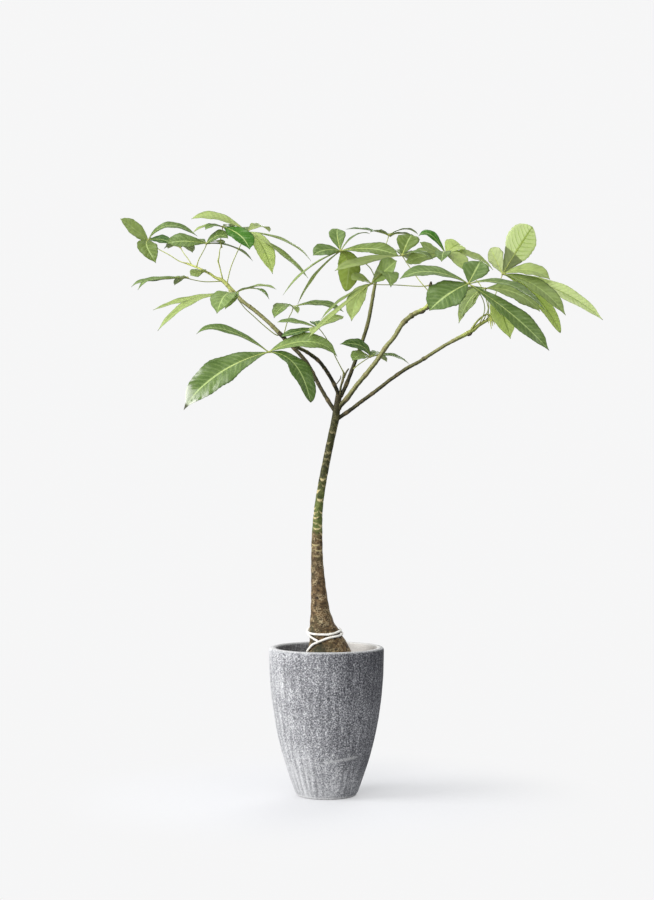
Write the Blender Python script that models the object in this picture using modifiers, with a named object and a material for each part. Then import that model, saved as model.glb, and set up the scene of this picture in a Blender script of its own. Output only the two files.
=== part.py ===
"""A potted Pachira (money tree).

A tall stone-look pot filled with soil carries one bent trunk with a flared foot, a white
string tied round that foot, branches that rise from the trunk's fork, and compound leaves
whose leaflets spread from a hub at the end of each petiole.

Metres, +Z up. The origin is the centre of the pot's underside, and -Y is the front.
The plant's own numbers are in centimetres, which suit it better, and CM turns them into metres.
"""

import math

import bmesh
import bpy
from mathutils import Vector
from mathutils.bvhtree import BVHTree

CM = 0.01
GAP = 0.0003            # between two pieces that touch

# Pot: a turned shell whose outside swells from its foot to a nearly straight top
POT_HEIGHT = 0.313
POT_RADIUS = 0.122
POT_TAPER = 0.058       # how much narrower the outside is at the foot
POT_SWELL = 2.2         # power of the curve between the foot and the rim
POT_WALL = 0.0155
POT_FLOOR = 0.020
POT_LIP = 0.006         # radius of the two rounded edges of the rim
POT_FOOT = 0.004        # radius of the rounded edge at the underside
POT_CORNER = 0.012      # the slope between the floor and the inside, across and up
POT_SKIRT = 0.010       # height at which the outside's curve ends above the rounded edge
POT_STATIONS = 7        # stretches between the foot and the rim
POT_STEPS = 32
DRAIN_RADIUS = 0.006
DRAIN_CIRCLE = 0.034
DRAIN_HOLES = 4

# Soil: fills the pot to a little under its rim
SOIL_TOP = 0.288
SOIL_GAP = 0.0004       # between the soil and the pot's inside
SOIL_STATIONS = 6

# Leaves
LEAF_THICK = 0.0012
HUB_RADIUS = 0.0042
STALK_WIDTH = 0.0026    # a leaflet where it leaves its hub
TIP_WIDTH = 0.0008
LEAF_SEGMENT = 0.034    # aimed length of one stretch of a leaflet
FOLD = 0.16             # how far a leaflet's two halves rise from its midrib, by its half width
REACH = 0.6             # how far out a midrib's bend lies, by its tip's distance
PEAK = 1.25             # the higher, the nearer to its tip a leaflet is widest
PETIOLE_RADII = (0.17, 0.12)

# Trunk: x, y, z and radius of its axis, foot first
TRUNK = [
    (0.5, 0.0, 26.2, 4.9), (0.5, 0.0, 28.8, 5.0), (0.2, 0.1, 30.9, 4.4), (-0.3, 0.2, 33.1, 3.55),
    (-0.8, 0.3, 35.0, 3.0), (-1.1, 0.4, 36.8, 2.5), (-1.4, 0.5, 39.5, 2.0), (-1.7, 0.7, 44.0, 1.6),
    (-2.0, 1.0, 49.5, 1.3), (-2.0, 1.1, 55.0, 1.15), (-1.7, 1.1, 60.5, 0.95), (-0.9, 0.9, 66.0, 0.87),
    (0.0, 0.6, 70.7, 0.83), (0.9, 0.3, 75.1, 0.82), (1.8, 0.0, 79.2, 0.83), (2.1, 0.0, 81.2, 0.8),
    (2.4, 0.0, 83.3, 0.72), (2.7, 0.0, 85.2, 0.66),
]

# Branches: the axis as for the trunk, and the pieces of wood that each one grows from or beside
BRANCHES = {
    "branch_centre": (["trunk"], [
        (2.7, 0.0, 84.0, 0.42), (3.5, 0.2, 85.3, 0.42), (5.1, 1.0, 89.2, 0.42), (7.8, 2.5, 96.6, 0.4),
        (9.1, 3.2, 101.3, 0.4), (10.2, 4.0, 107.5, 0.36), (10.6, 4.0, 109.3, 0.28)]),
    "branch_left_outer": (["trunk"], [
        (2.2, 0.0, 80.8, 0.45), (1.2, 0.0, 82.1, 0.42), (-1.2, 1.0, 86.1, 0.41), (-3.8, 2.0, 91.0, 0.41),
        (-5.6, 2.5, 93.3, 0.41), (-9.8, 3.5, 97.7, 0.46), (-12.5, 4.0, 100.4, 0.41),
        (-15.6, 5.0, 103.1, 0.41), (-18.1, 5.5, 105.0, 0.43), (-20.2, 6.0, 107.2, 0.42),
        (-22.3, 6.5, 109.4, 0.42), (-24.0, 7.0, 110.2, 0.28), (-25.3, 7.0, 111.1, 0.28),
        (-28.1, 8.0, 112.5, 0.22), (-30.2, 9.0, 113.4, 0.22)]),
    "branch_left_inner": (["trunk", "branch_centre"], [
        (2.5, 0.0, 84.0, 0.42), (2.2, -0.6, 85.6, 0.42), (0.9, -1.8, 88.2, 0.4), (-0.7, -3.2, 90.6, 0.4),
        (-2.0, -4.2, 92.0, 0.4), (-4.0, -5.5, 93.4, 0.38), (-5.6, -6.5, 94.2, 0.36),
        (-7.2, -7.5, 94.8, 0.34)]),
    "twig_centre": (["trunk", "branch_centre", "branch_left_inner"], [
        (2.9, -0.3, 84.4, 0.26), (3.0, -0.7, 86.2, 0.24), (3.4, -1.2, 87.6, 0.24),
        (3.7, -1.5, 89.2, 0.28)]),
    "branch_right": (["trunk"], [
        (2.3, 0.0, 81.3, 0.55), (2.9, -0.2, 82.4, 0.53), (4.4, -1.0, 84.0, 0.52), (6.5, -2.0, 86.8, 0.5),
        (8.6, -3.0, 89.3, 0.49), (10.5, -3.5, 91.7, 0.48), (12.6, -4.0, 94.8, 0.47),
        (14.2, -4.0, 96.7, 0.46), (16.0, -3.6, 99.6, 0.5), (18.1, -3.0, 101.4, 0.53),
        (20.6, -2.5, 102.7, 0.46), (21.6, -2.2, 104.0, 0.3), (22.0, -1.5, 106.0, 0.24),
        (22.0, -1.0, 107.8, 0.22)]),
    "branch_far_right": (["trunk"], [
        (1.6, 0.0, 78.9, 0.45), (2.6, 0.0, 79.8, 0.42), (4.8, -0.5, 81.3, 0.42), (7.3, -1.0, 83.2, 0.41),
        (10.6, -1.5, 85.6, 0.4), (13.7, -2.0, 88.0, 0.39), (16.9, -2.5, 90.2, 0.39),
        (19.7, -2.8, 91.7, 0.38), (23.9, -3.0, 94.4, 0.37), (26.5, -3.0, 95.9, 0.39),
        (29.2, -3.2, 97.3, 0.47), (30.9, -3.4, 98.3, 0.42), (32.1, -3.6, 99.3, 0.36),
        (34.3, -4.0, 100.5, 0.3)]),
    "young_shoot": (["branch_left_outer"], [
        (-22.3, 6.5, 109.4, 0.16), (-23.0, 6.0, 112.5, 0.13), (-23.3, 5.8, 113.6, 0.17),
        (-23.1, 5.5, 114.5, 0.13), (-22.9, 5.2, 116.0, 0.1), (-22.5, 5.0, 116.8, 0.08)]),
}

# Compound leaves: the wood that carries the leaf, the petiole's route up to its hub, and the
# leaflets. A leaflet is its tip (x, y and z from the hub), the height of its midrib's bend over
# the hub, its width, and the way its upper side leans (x and y, added to an upright normal).
# Some have more: their own reach or peak, how far the midrib sways sideways, how far its last
# quarter hooks down, and whether the tip is blunt.
LEAVES = {
    "leaf_tip_left": ("branch_left_outer", [
        (-30.2, 9.0, 113.4), (-32.0, 9.5, 114.0), (-34.2, 10.0, 115.4), (-37.0, 11.0, 117.0),
        (-39.0, 12.0, 118.8)], [
        ((-5.6, -4.0, 4.2), 2.7, 4.0, (0.0, -1.6), {"peak": 0.85}),
        ((10.6, 3.0, 1.2), 6.1, 2.8, (0.0, -0.7), {"reach": 0.35}),
        ((5.2, -1.0, -0.8), 0.6, 2.8, (0.0, -1.0)),
        ((2.5, 6.0, 0.0), 1.5, 2.2, (0.0, 0.0)),
        ((2.3, -6.0, -5.6), -0.8, 4.4, (0.0, -0.4), {"sway": 1.2, "peak": 1.15}),
    ]),
    "leaf_high_left": ("branch_left_outer", [
        (-28.1, 8.0, 112.5), (-27.6, 7.2, 114.0), (-26.7, 6.0, 115.4), (-25.9, 4.5, 116.6),
        (-25.7, 4.0, 117.2)], [
        ((-8.2, -3.0, -0.3), 0.7, 4.3, (0.0, -1.2)),
        ((4.8, -3.0, 0.7), 2.7, 3.2, (0.0, -1.2), {"peak": 0.9}),
        ((9.6, 7.5, -3.0), 1.0, 3.0, (0.0, -0.3)),
        ((3.5, 6.0, 0.5), 1.5, 2.6, (0.0, 0.0)),
        ((-4.0, 6.0, 1.0), 2.0, 3.0, (0.0, 0.0)),
    ]),
    "leaf_back_left": ("branch_left_outer", [
        (-29.2, 8.5, 113.0), (-30.0, 10.5, 114.4), (-31.2, 12.5, 116.0), (-32.1, 14.0, 117.5)], [
        ((2.3, 6.0, -0.6), 1.4, 2.8, (0.0, 0.0)),
        ((-3.2, 6.0, 0.3), 1.6, 2.6, (0.0, 0.0)),
        ((-3.6, 0.0, -0.4), 0.8, 2.2, (0.0, 0.0)),
    ]),
    "leaf_top_left": ("branch_left_outer", [
        (-21.5, 6.3, 108.6), (-20.6, 5.2, 112.0), (-19.5, 4.0, 114.5), (-18.9, 3.5, 115.7),
        (-16.9, 2.0, 119.5)], [
        ((-12.0, 1.0, 2.8), 5.0, 3.4, (0.0, -0.7)),
        ((-0.6, 3.4, 1.4), 1.0, 1.8, (0.0, -0.4)),
        ((5.5, -3.0, -9.3), -1.3, 4.6, (0.3, -1.2)),
        ((4.6, 6.0, 0.6), 2.8, 4.0, (0.0, -0.5)),
        ((13.6, 2.0, -5.6), -0.6, 3.0, (0.0, -0.3), {"hook": 0.5}),
        ((13.0, -1.0, -10.0), -4.0, 2.8, (0.0, -0.4)),
    ]),
    "leaf_side_left": ("branch_left_outer", [
        (-22.3, 6.5, 109.4), (-26.0, 5.0, 109.1), (-29.0, 3.5, 109.5), (-29.7, 3.0, 109.8)], [
        ((-11.9, -1.0, -1.2), -0.4, 2.8, (0.0, -0.4), {"hook": 0.9, "peak": 1.5}),
        ((-10.2, -4.0, -1.6), 0.1, 2.8, (0.0, -0.3), {"hook": 1.4, "peak": 1.5}),
        ((-3.2, 5.0, -1.2), 0.4, 1.9, (0.0, 0.0)),
        ((-2.0, -5.0, -0.4), 0.2, 1.6, (0.0, 0.0)),
    ]),
    "leaf_small_left": ("branch_left_outer", [
        (-25.3, 7.0, 111.1), (-25.6, 6.2, 111.3), (-25.9, 5.5, 111.3)], [
        ((-3.2, -2.0, -1.0), -0.2, 2.6, (0.0, -1.4), {"peak": 1.7}),
        ((-1.0, -3.0, 0.1), 0.3, 1.4, (0.0, 0.0)),
    ]),
    "leaf_mid_left": ("branch_left_outer", [
        (-9.8, 3.5, 97.7), (-10.9, 2.2, 97.6), (-13.5, 0.6, 99.6), (-15.4, -0.7, 101.3),
        (-17.3, -2.0, 103.0), (-19.5, -3.0, 105.9)], [
        ((-17.0, 0.0, -3.5), -0.7, 3.4, (0.0, -0.4)),
        ((-15.6, -5.0, -8.2), 0.0, 3.8, (0.0, -0.3)),
        ((-3.1, -8.0, -4.8), 0.7, 5.2, (0.0, -0.4)),
        ((-1.6, -4.0, -3.6), 0.6, 3.0, (0.0, -0.3), {"sway": -0.8}),
        ((9.0, -2.0, 0.7), 2.6, 3.0, (0.0, -0.2)),
        ((7.6, -5.0, -1.0), 2.2, 2.6, (0.0, 0.0), {"hook": 0.6}),
    ]),
    "leaf_inner_left": ("branch_left_outer", [
        (-9.2, 3.2, 97.2), (-8.6, 2.3, 99.5), (-8.0, 1.5, 101.2), (-7.4, 0.5, 102.2),
        (-7.0, 0.0, 103.4)], [
        ((10.6, -1.0, -1.2), 1.7, 3.2, (0.0, -0.5)),
        ((-4.0, -5.0, -2.8), 0.9, 3.4, (-0.2, -0.6)),
        ((-4.5, 5.0, 0.0), 1.5, 2.2, (0.0, 0.0)),
        ((1.0, -4.0, -1.8), 0.2, 1.3, (0.0, 0.0)),
    ]),
    "leaf_low_left": ("branch_left_inner", [
        (-7.2, -7.5, 94.8), (-9.0, -9.5, 94.6), (-10.6, -11.5, 93.8), (-11.8, -13.0, 93.1)], [
        ((-17.0, -6.0, -11.2), -2.6, 6.7, (0.3, -1.4), {"peak": 1.3, "hook": 0.8}),
        ((-14.8, -1.0, 4.6), 6.2, 3.6, (0.0, -0.5), {"hook": 1.0}),
        ((14.0, 1.0, -0.2), 4.4, 5.6, (0.0, -0.7), {"hook": 0.7, "peak": 1.1}),
        ((8.6, -5.0, -10.5), -0.2, 5.6, (0.4, -0.8), {"peak": 1.4, "sway": -1.3, "blunt": True}),
    ]),
    "leaf_centre_left": ("twig_centre", [
        (3.7, -1.5, 89.2), (2.0, -3.5, 92.3), (0.3, -6.0, 95.7), (-1.1, -8.0, 97.7),
        (-1.8, -9.0, 98.3)], [
        ((-8.4, -1.0, 1.1), 1.8, 3.0, (0.0, -0.4)),
        ((-7.6, -3.0, -2.0), -0.9, 2.7, (0.0, -0.6)),
        ((-0.8, 4.0, 1.6), 1.6, 2.4, (0.0, -0.3)),
        ((5.4, 4.5, 2.7), 2.4, 3.0, (0.0, -0.6)),
        ((-1.3, -3.5, -1.6), 0.3, 1.8, (0.0, -0.2)),
    ]),
    "leaf_centre_top": ("branch_centre", [
        (10.6, 4.0, 109.3), (9.3, 1.5, 111.7), (7.1, -1.0, 113.2), (5.3, -2.5, 114.0),
        (2.9, -4.0, 114.8)], [
        ((-0.6, 3.0, 5.0), 3.9, 3.6, (0.0, -1.0), {"sway": -0.3}),
        ((6.3, 4.0, 4.0), 4.9, 1.5, (0.0, 0.0), {"reach": 0.5}),
        ((-5.7, -4.0, -1.4), 0.5, 3.8, (0.0, -1.3)),
        ((-12.0, -2.0, -9.5), -2.8, 2.6, (0.0, -0.1)),
        ((-9.0, 3.0, -11.0), -3.9, 2.6, (0.0, -0.1)),
        ((1.2, 5.0, -8.1), -0.7, 4.9, (0.0, 0.0), {"sway": 1.1, "peak": 1.1}),
        ((12.1, -5.0, -1.7), 1.0, 4.6, (0.0, -0.8)),
    ]),
    "leaf_centre": ("branch_right", [
        (22.0, -1.0, 107.8), (19.5, -1.0, 107.6), (14.5, -2.0, 107.8), (10.9, -2.8, 107.8),
        (9.4, -3.0, 108.0)], [
        ((5.3, -3.0, 4.5), 2.9, 5.4, (0.0, -1.5)),
        ((3.9, -7.0, -1.4), 4.8, 4.6, (0.3, -0.5), {"sway": -1.0}),
        ((-4.1, -3.0, 0.4), 1.8, 3.4, (0.0, -1.0)),
        ((-10.6, -2.0, -7.7), -2.6, 2.2, (0.0, -0.2)),
        ((-13.2, -14.0, -12.4), -7.4, 1.6, (0.0, -0.3), {"reach": 0.7}),
        ((-4.2, -4.0, -8.2), -1.0, 4.2, (0.0, -0.6), {"sway": 0.5, "peak": 1.5}),
    ]),
    "leaf_top_back": ("branch_centre", [
        (10.2, 4.0, 107.9), (10.9, 7.0, 110.5), (12.3, 10.0, 115.5), (13.6, 10.5, 119.8)], [
        ((-9.4, 1.0, 1.3), 1.8, 2.9, (0.0, -0.2)),
        ((6.4, 2.0, 0.3), 2.6, 1.8, (0.0, 0.0)),
        ((5.5, -2.0, -0.6), 0.6, 2.8, (0.0, 0.0)),
        ((-4.2, -3.0, 0.2), 1.1, 2.4, (0.0, 0.0)),
        ((0.5, 6.0, 0.2), 1.2, 2.6, (0.0, 0.0)),
    ]),
    "leaf_centre_low": ("branch_centre", [
        (5.4, 1.2, 90.0), (6.9, 0.2, 91.2), (9.2, -1.0, 92.7)], [
        ((-6.4, -1.5, 2.6), 3.3, 3.3, (0.0, -1.0), {"reach": 0.12}),
        ((-3.8, -3.5, -1.0), 1.0, 3.4, (0.0, -1.0)),
        ((2.2, 4.0, 1.2), 1.4, 2.4, (0.0, -0.4)),
        ((8.4, 2.0, -1.5), 1.4, 2.4, (0.0, -0.4)),
        ((3.7, 4.0, -0.9), 0.9, 2.2, (0.0, 0.0)),
    ]),
    "leaf_inner_right": ("branch_right", [
        (22.0, -1.5, 106.0), (20.1, 0.0, 108.4), (19.2, 1.0, 109.7), (17.2, 1.5, 112.6),
        (16.1, 1.5, 114.4)], [
        ((-14.4, -9.6, -4.2), -1.3, 3.8, (0.0, -0.6)),
        ((2.3, 5.0, 4.9), 3.8, 5.0, (0.0, -1.0)),
        ((1.5, 12.0, 0.5), 2.5, 4.0, (0.0, 0.0)),
        ((-2.0, 9.0, 1.5), 2.6, 3.0, (0.0, 0.0)),
        ((6.5, -1.0, -1.0), 1.5, 3.4, (0.0, -0.3)),
    ]),
    "leaf_high_right": ("branch_far_right", [
        (33.8, -3.9, 100.2), (34.0, -2.6, 103.2), (32.6, 0.3, 108.0), (29.3, 2.4, 111.5),
        (25.5, 4.0, 115.0)], [
        ((-5.7, 2.0, 4.0), 6.3, 3.0, (0.0, -0.6)),
        ((-5.7, -3.0, 2.2), 0.3, 2.8, (0.0, -1.4)),
        ((-8.5, 4.0, -1.4), 0.0, 5.2, (0.0, -1.1)),
        ((-1.3, -7.0, -2.4), 1.0, 3.5, (0.0, 0.0)),
        ((3.4, 4.0, 2.4), 2.3, 4.9, (0.0, -1.2), {"blunt": True}),
        ((10.6, 5.0, -3.0), 1.1, 4.0, (0.0, -0.7)),
        ((4.0, -5.0, -4.4), 0.0, 3.8, (0.0, -0.8)),
    ]),
    "leaf_front_right": ("branch_far_right", [
        (31.9, -3.6, 99.0), (33.0, -6.3, 102.3), (31.6, -12.0, 105.0), (28.8, -17.0, 106.8)], [
        ((-14.0, -1.0, 0.8), 4.2, 4.8, (0.0, -0.6)),
        ((-8.2, -5.0, -5.9), -2.3, 7.6, (0.0, -1.3), {"peak": 1.1}),
        ((2.8, 4.5, 5.0), 2.9, 5.6, (0.0, -1.6)),
        ((15.3, -1.0, -5.4), 1.9, 4.6, (0.0, -0.4)),
        ((15.8, -5.0, -13.9), -6.3, 5.4, (0.0, -0.9), {"peak": 1.35}),
    ]),
    "leaf_behind_right": ("branch_far_right", [
        (32.6, -3.7, 99.6), (34.0, -4.6, 103.0), (33.2, -5.2, 106.8)], [
        ((-5.1, 0.5, -6.1), -0.6, 4.6, (0.2, -0.8)),
        ((-5.4, 2.0, -7.2), -0.2, 5.2, (0.0, -0.8)),
        ((11.6, 1.0, -4.8), 0.5, 5.8, (0.0, -1.0)),
        ((-4.5, 6.5, -0.8), 1.2, 3.0, (0.0, 0.0)),
    ]),
    "leaf_pale_right": ("branch_far_right", [
        (34.3, -4.0, 100.5), (35.4, -1.0, 104.7), (36.6, 1.8, 108.0), (37.6, 3.0, 110.6)], [
        ((6.7, 3.0, 10.4), 6.6, 7.5, (0.0, 2.4), {"blunt": True}),
        ((-2.5, 1.0, 5.6), 3.4, 4.6, (0.0, 1.2), {"blunt": True}),
        ((9.8, -3.0, -1.5), 2.1, 4.6, (0.0, -0.8)),
        ((21.0, -3.0, -10.1), -2.2, 4.5, (0.0, -0.9)),
        ((12.7, -6.0, -9.3), -1.4, 4.8, (0.0, -0.8)),
        ((12.6, 2.0, -12.5), -2.5, 4.4, (0.0, -1.2), {"blunt": True}),
    ]),
    "leaf_low_right": ("branch_far_right", [
        (33.3, -3.8, 99.9), (34.6, -5.2, 102.2), (35.6, -6.0, 104.3)], [
        ((2.5, -3.0, -8.3), -1.0, 5.8, (0.0, -0.9), {"sway": 0.8, "peak": 1.1}),
        ((0.3, -6.0, -3.6), 0.0, 3.0, (0.0, 0.0)),
        ((5.0, 3.0, -4.6), 0.0, 3.8, (0.0, -0.4)),
    ]),
    "leaf_shoot_left": ("young_shoot", [
        (-22.5, 5.0, 116.4), (-22.7, 4.5, 118.0), (-22.4, 3.6, 119.6), (-22.1, 3.0, 120.7)], [
        ((6.1, -9.5, -5.9), -2.0, 4.8, (0.4, -1.6), {"peak": 1.15, "sway": -0.6}),
        ((-6.6, 0.0, -1.5), 0.9, 2.8, (0.0, -0.3)),
        ((-3.6, -3.0, -1.0), 0.6, 2.6, (0.0, -0.4)),
        ((2.0, 5.0, 0.4), 1.2, 2.4, (0.0, 0.0)),
    ]),
}

# Tie string: one open strand that goes round the trunk's foot, front side first from the right.
# A point is its angle round the trunk (degrees, 0 at +X, growing towards the front) and its height.
STRING_RADIUS = 0.0026
STRING_LIFT = 0.0016    # between the string and the trunk's bark
STRING_WINDS = [
    (-10, 34.9), (40, 34.35), (70, 34.1), (100, 34.1), (140, 34.3), (180, 34.6), (240, 35.3),
    (300, 35.2), (355, 34.1), (395, 33.65), (425, 33.45), (450, 33.1), (475, 32.5), (492, 32.0),
    (510, 31.0), (525, 30.2), (535, 29.5),
]
STRING_END = [(172, 34.5), (155, 34.0), (136, 33.35), (118, 32.75), (112, 32.6)]

# Colours: base colour, roughness
LOOKS = {
    "pot": ((0.22, 0.22, 0.24), 0.95),
    "soil": ((0.05, 0.035, 0.025), 1.0),
    "bark": ((0.10, 0.09, 0.04), 0.85),
    "green_wood": ((0.16, 0.20, 0.06), 0.6),
    "leaf": ((0.10, 0.24, 0.05), 0.4),
    "young_leaf": ((0.30, 0.45, 0.14), 0.45),
    "string": ((0.80, 0.78, 0.72), 0.9),
}


def clear_scene():
    for old in list(bpy.data.objects):
        bpy.data.objects.remove(old, do_unlink=True)


def new_collection(name):
    group = bpy.data.collections.new(name)
    bpy.context.scene.collection.children.link(group)
    return group


def new_material(name):
    colour, roughness = LOOKS[name]
    material = bpy.data.materials.new(name)
    material.use_nodes = True
    shader = material.node_tree.nodes["Principled BSDF"]
    shader.inputs["Base Color"].default_value = (*colour, 1.0)
    shader.inputs["Roughness"].default_value = roughness
    shader.inputs["Metallic"].default_value = 0.0
    return material


def new_object(name, data, group, material=None):
    piece = bpy.data.objects.new(name, data)
    group.objects.link(piece)
    if material:
        data.materials.clear()
        data.materials.append(material)
    return piece


def as_mesh(piece):
    """The same object with its curve or its modifiers turned into one plain welded mesh."""
    shape = piece.evaluated_get(bpy.context.evaluated_depsgraph_get())
    mesh = bpy.data.meshes.new_from_object(shape)
    work = bmesh.new()
    work.from_mesh(mesh)
    bmesh.ops.remove_doubles(work, verts=work.verts, dist=1e-6)
    bmesh.ops.recalc_face_normals(work, faces=work.faces)
    work.to_mesh(mesh)
    work.free()
    result = bpy.data.objects.new(piece.name, mesh)
    result.matrix_world = piece.matrix_world
    name = piece.name
    for group in piece.users_collection:
        group.objects.link(result)
    bpy.data.objects.remove(piece, do_unlink=True)
    result.name = name
    return result


def boolean(piece, other, operation):
    """Adds a Boolean with another object, or with every object of a collection."""
    step = piece.modifiers.new(operation.lower(), "BOOLEAN")
    step.operation = operation
    step.solver = "EXACT"
    if isinstance(other, bpy.types.Collection):
        step.operand_type = "COLLECTION"
        step.collection = other
    else:
        step.object = other


def smooth_route(points, steps):
    """Points on a smooth curve through the given points, of any number of coordinates."""
    route = [points[0]]
    for i in range(len(points) - 1):
        before = points[max(i - 1, 0)]
        start, end = points[i], points[i + 1]
        after = points[min(i + 2, len(points) - 1)]
        for step in range(1, steps + 1):
            t = step / steps
            route.append(tuple(
                0.5 * (2 * b + (c - a) * t + (2 * a - 5 * b + 4 * c - d) * t * t
                       + (3 * b - a - 3 * c + d) * t ** 3)
                for a, b, c, d in zip(before, start, end, after)))
    return route


def tube(name, route, group, sides=2):
    """A closed tube along points of x, y, z and radius in centimetres."""
    curve = bpy.data.curves.new(name, "CURVE")
    curve.dimensions = "3D"
    curve.bevel_depth = CM
    curve.bevel_resolution = sides
    curve.use_fill_caps = True
    line = curve.splines.new("POLY")
    line.points.add(len(route) - 1)
    for point, (x, y, z, radius) in zip(line.points, route):
        point.co = (x * CM, y * CM, z * CM, 1.0)
        point.radius = radius
    return as_mesh(new_object(name, curve, group))


def pot_outside(height):
    """The pot's outer radius at a height."""
    return POT_RADIUS - POT_TAPER * (1 - height / POT_HEIGHT) ** POT_SWELL


def arc(x, z, radius, start, end, steps=3):
    """Points of an arc in a turned profile, angles in degrees from +X."""
    turn = [math.radians(start + (end - start) * i / steps) for i in range(steps + 1)]
    return [(x + radius * math.cos(a), z + radius * math.sin(a)) for a in turn]


def turned(name, profile, group, material):
    """A shape turned from a profile of radius and height, outer side from top to bottom."""
    mesh = bpy.data.meshes.new(name)
    mesh.from_pydata([(x, 0, z) for x, z in profile], [(i, i + 1) for i in range(len(profile) - 1)], [])
    piece = new_object(name, mesh, group, material)
    screw = piece.modifiers.new("turn", "SCREW")
    screw.steps = POT_STEPS
    screw.render_steps = POT_STEPS
    screw.use_merge_vertices = True
    screw.merge_threshold = 0.00001
    screw.use_smooth_shade = True
    return piece


def make_pot(parts, cutters, material):
    inner_top = POT_RADIUS - POT_WALL
    wall = [i / POT_STATIONS for i in range(POT_STATIONS + 1)]
    inside_from = POT_FLOOR + POT_CORNER
    inside_to = POT_HEIGHT - POT_LIP
    inside = [inside_from + (inside_to - inside_from) * w for w in wall]
    outside = [inside_to + (POT_SKIRT - inside_to) * w for w in wall]
    profile = [(0, POT_FLOOR), (pot_outside(inside_from) - POT_WALL - POT_CORNER, POT_FLOOR)]
    profile += [(pot_outside(z) - POT_WALL, z) for z in inside]
    profile += arc(inner_top + POT_LIP, inside_to, POT_LIP, 180, 90)[1:]
    profile += arc(POT_RADIUS - POT_LIP, inside_to, POT_LIP, 90, 0)[:-1]
    profile += [(pot_outside(z), z) for z in outside]
    profile += arc(pot_outside(0) - POT_FOOT, POT_FOOT, POT_FOOT, 0, -90, 2)
    profile.append((0, 0))
    pot = turned("pot", profile, parts, material)
    for i in range(DRAIN_HOLES):
        angle = 2 * math.pi * (i + 0.5) / DRAIN_HOLES
        bpy.ops.mesh.primitive_cylinder_add(
            vertices=16, radius=DRAIN_RADIUS, depth=2 * POT_FLOOR,
            location=(DRAIN_CIRCLE * math.cos(angle), DRAIN_CIRCLE * math.sin(angle), POT_FLOOR / 2))
        hole = bpy.context.object
        hole.name = f"drain_cutter_{i + 1}"
        as_cutter(hole, cutters)
        boolean(pot, hole, "DIFFERENCE")


def as_cutter(piece, cutters):
    """Moves an object to the cutters, where it is neither rendered nor built."""
    for group in list(piece.users_collection):
        group.objects.unlink(piece)
    cutters.objects.link(piece)
    piece.hide_render = True
    piece.display_type = "WIRE"


def make_soil(parts, material, trunk_cutter):
    inside_from = POT_FLOOR + POT_CORNER
    heights = [SOIL_TOP + (inside_from - SOIL_TOP) * i / SOIL_STATIONS
               for i in range(SOIL_STATIONS + 1)]
    corner = pot_outside(inside_from) - POT_WALL - POT_CORNER
    profile = [(0, SOIL_TOP)]
    profile += [(pot_outside(z) - POT_WALL - SOIL_GAP, z) for z in heights]
    profile += [(corner - SOIL_GAP, POT_FLOOR + SOIL_GAP), (0, POT_FLOOR + SOIL_GAP)]
    soil = turned("soil", profile, parts, material)
    boolean(soil, trunk_cutter, "DIFFERENCE")


def thicker(route, by):
    """The same route with a larger radius, and its ends as much longer."""
    first, last = Vector(route[0][:3]), Vector(route[-1][:3])
    first -= (Vector(route[1][:3]) - first).normalized() * by
    last += (last - Vector(route[-2][:3])).normalized() * by
    ends = [(*first, route[0][3] + by), (*last, route[-1][3] + by)]
    return ends[:1] + [(x, y, z, radius + by) for x, y, z, radius in route[1:-1]] + ends[1:]


def make_wood(parts, cutters, bark, green):
    """The trunk, the branches and twigs. Returns a cutter for each, one gap thicker than it is."""
    grown = {}
    routes = {"trunk": ([], TRUNK), **BRANCHES}
    for name, (beside, points) in routes.items():
        sides = 4 if name == "trunk" else 2
        piece = tube(name, points, parts, sides)
        piece.data.materials.append(green if name == "young_shoot" else bark)
        piece.data.shade_smooth()
        for other in beside:
            boolean(piece, grown[other], "DIFFERENCE")
        grown[name] = tube(name + "_cutter", thicker(points, GAP / CM), parts, sides)
        as_cutter(grown[name], cutters)
    return grown


def leaflet_shape(t, own):
    """A leaflet's half width along its length, 1 at its widest and narrow at both ends."""
    peak = own.get("peak", PEAK)
    if own.get("blunt"):
        return math.sin(math.pi * t ** (peak + 0.3)) ** 0.62
    return math.sin(math.pi * t ** peak) ** 0.85


def midrib_place(t, tip, bend, own):
    """A place on a leaflet's midrib, from its hub, and the level direction across it."""
    reach = own.get("reach", REACH)
    middle = Vector((tip.x * reach, tip.y * reach, bend))
    beside = Vector((tip.x, tip.y, 0)).normalized().cross(Vector((0, 0, 1)))
    last = max(t - 0.75, 0) / 0.25
    place = 2 * t * (1 - t) * middle + t * t * tip
    place.z -= own.get("hook", 0) * CM * last * last
    return place + beside * own.get("sway", 0) * CM * math.sin(math.pi * t), beside


def make_blade(name, hub, row, group):
    """One leaflet: a folded strip along a curved midrib, given its thickness by Solidify."""
    tip, bend, width = Vector(row[0]) * CM, row[1] * CM, row[2] * CM
    lean = Vector((*row[3], 0))
    own = row[4] if len(row) > 4 else {}
    rows = max(3, round(tip.length / LEAF_SEGMENT))
    bpy.ops.mesh.primitive_grid_add(x_subdivisions=2, y_subdivisions=rows, size=1)
    blade = bpy.context.object
    blade.name = name
    for vert in blade.data.vertices:
        across, t = 2 * vert.co.x, vert.co.y + 0.5
        place, beside = midrib_place(t, tip, bend, own)
        along = midrib_place(t + 0.001, tip, bend, own)[0] - midrib_place(t - 0.001, tip, bend, own)[0]
        along.normalize()
        side = along.cross(beside.cross(along) + lean).normalized()
        normal = side.cross(along)
        least = STALK_WIDTH + (TIP_WIDTH - STALK_WIDTH) * t
        half = max(width * leaflet_shape(min(t, 0.999), own), least) / 2
        vert.co = hub + place + (side * across + normal * abs(across) * FOLD) * half
    solid = blade.modifiers.new("thickness", "SOLIDIFY")
    solid.thickness = LEAF_THICK
    solid.offset = 0
    for old in list(blade.users_collection):
        old.objects.unlink(blade)
    group.objects.link(blade)
    return as_mesh(blade)


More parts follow.
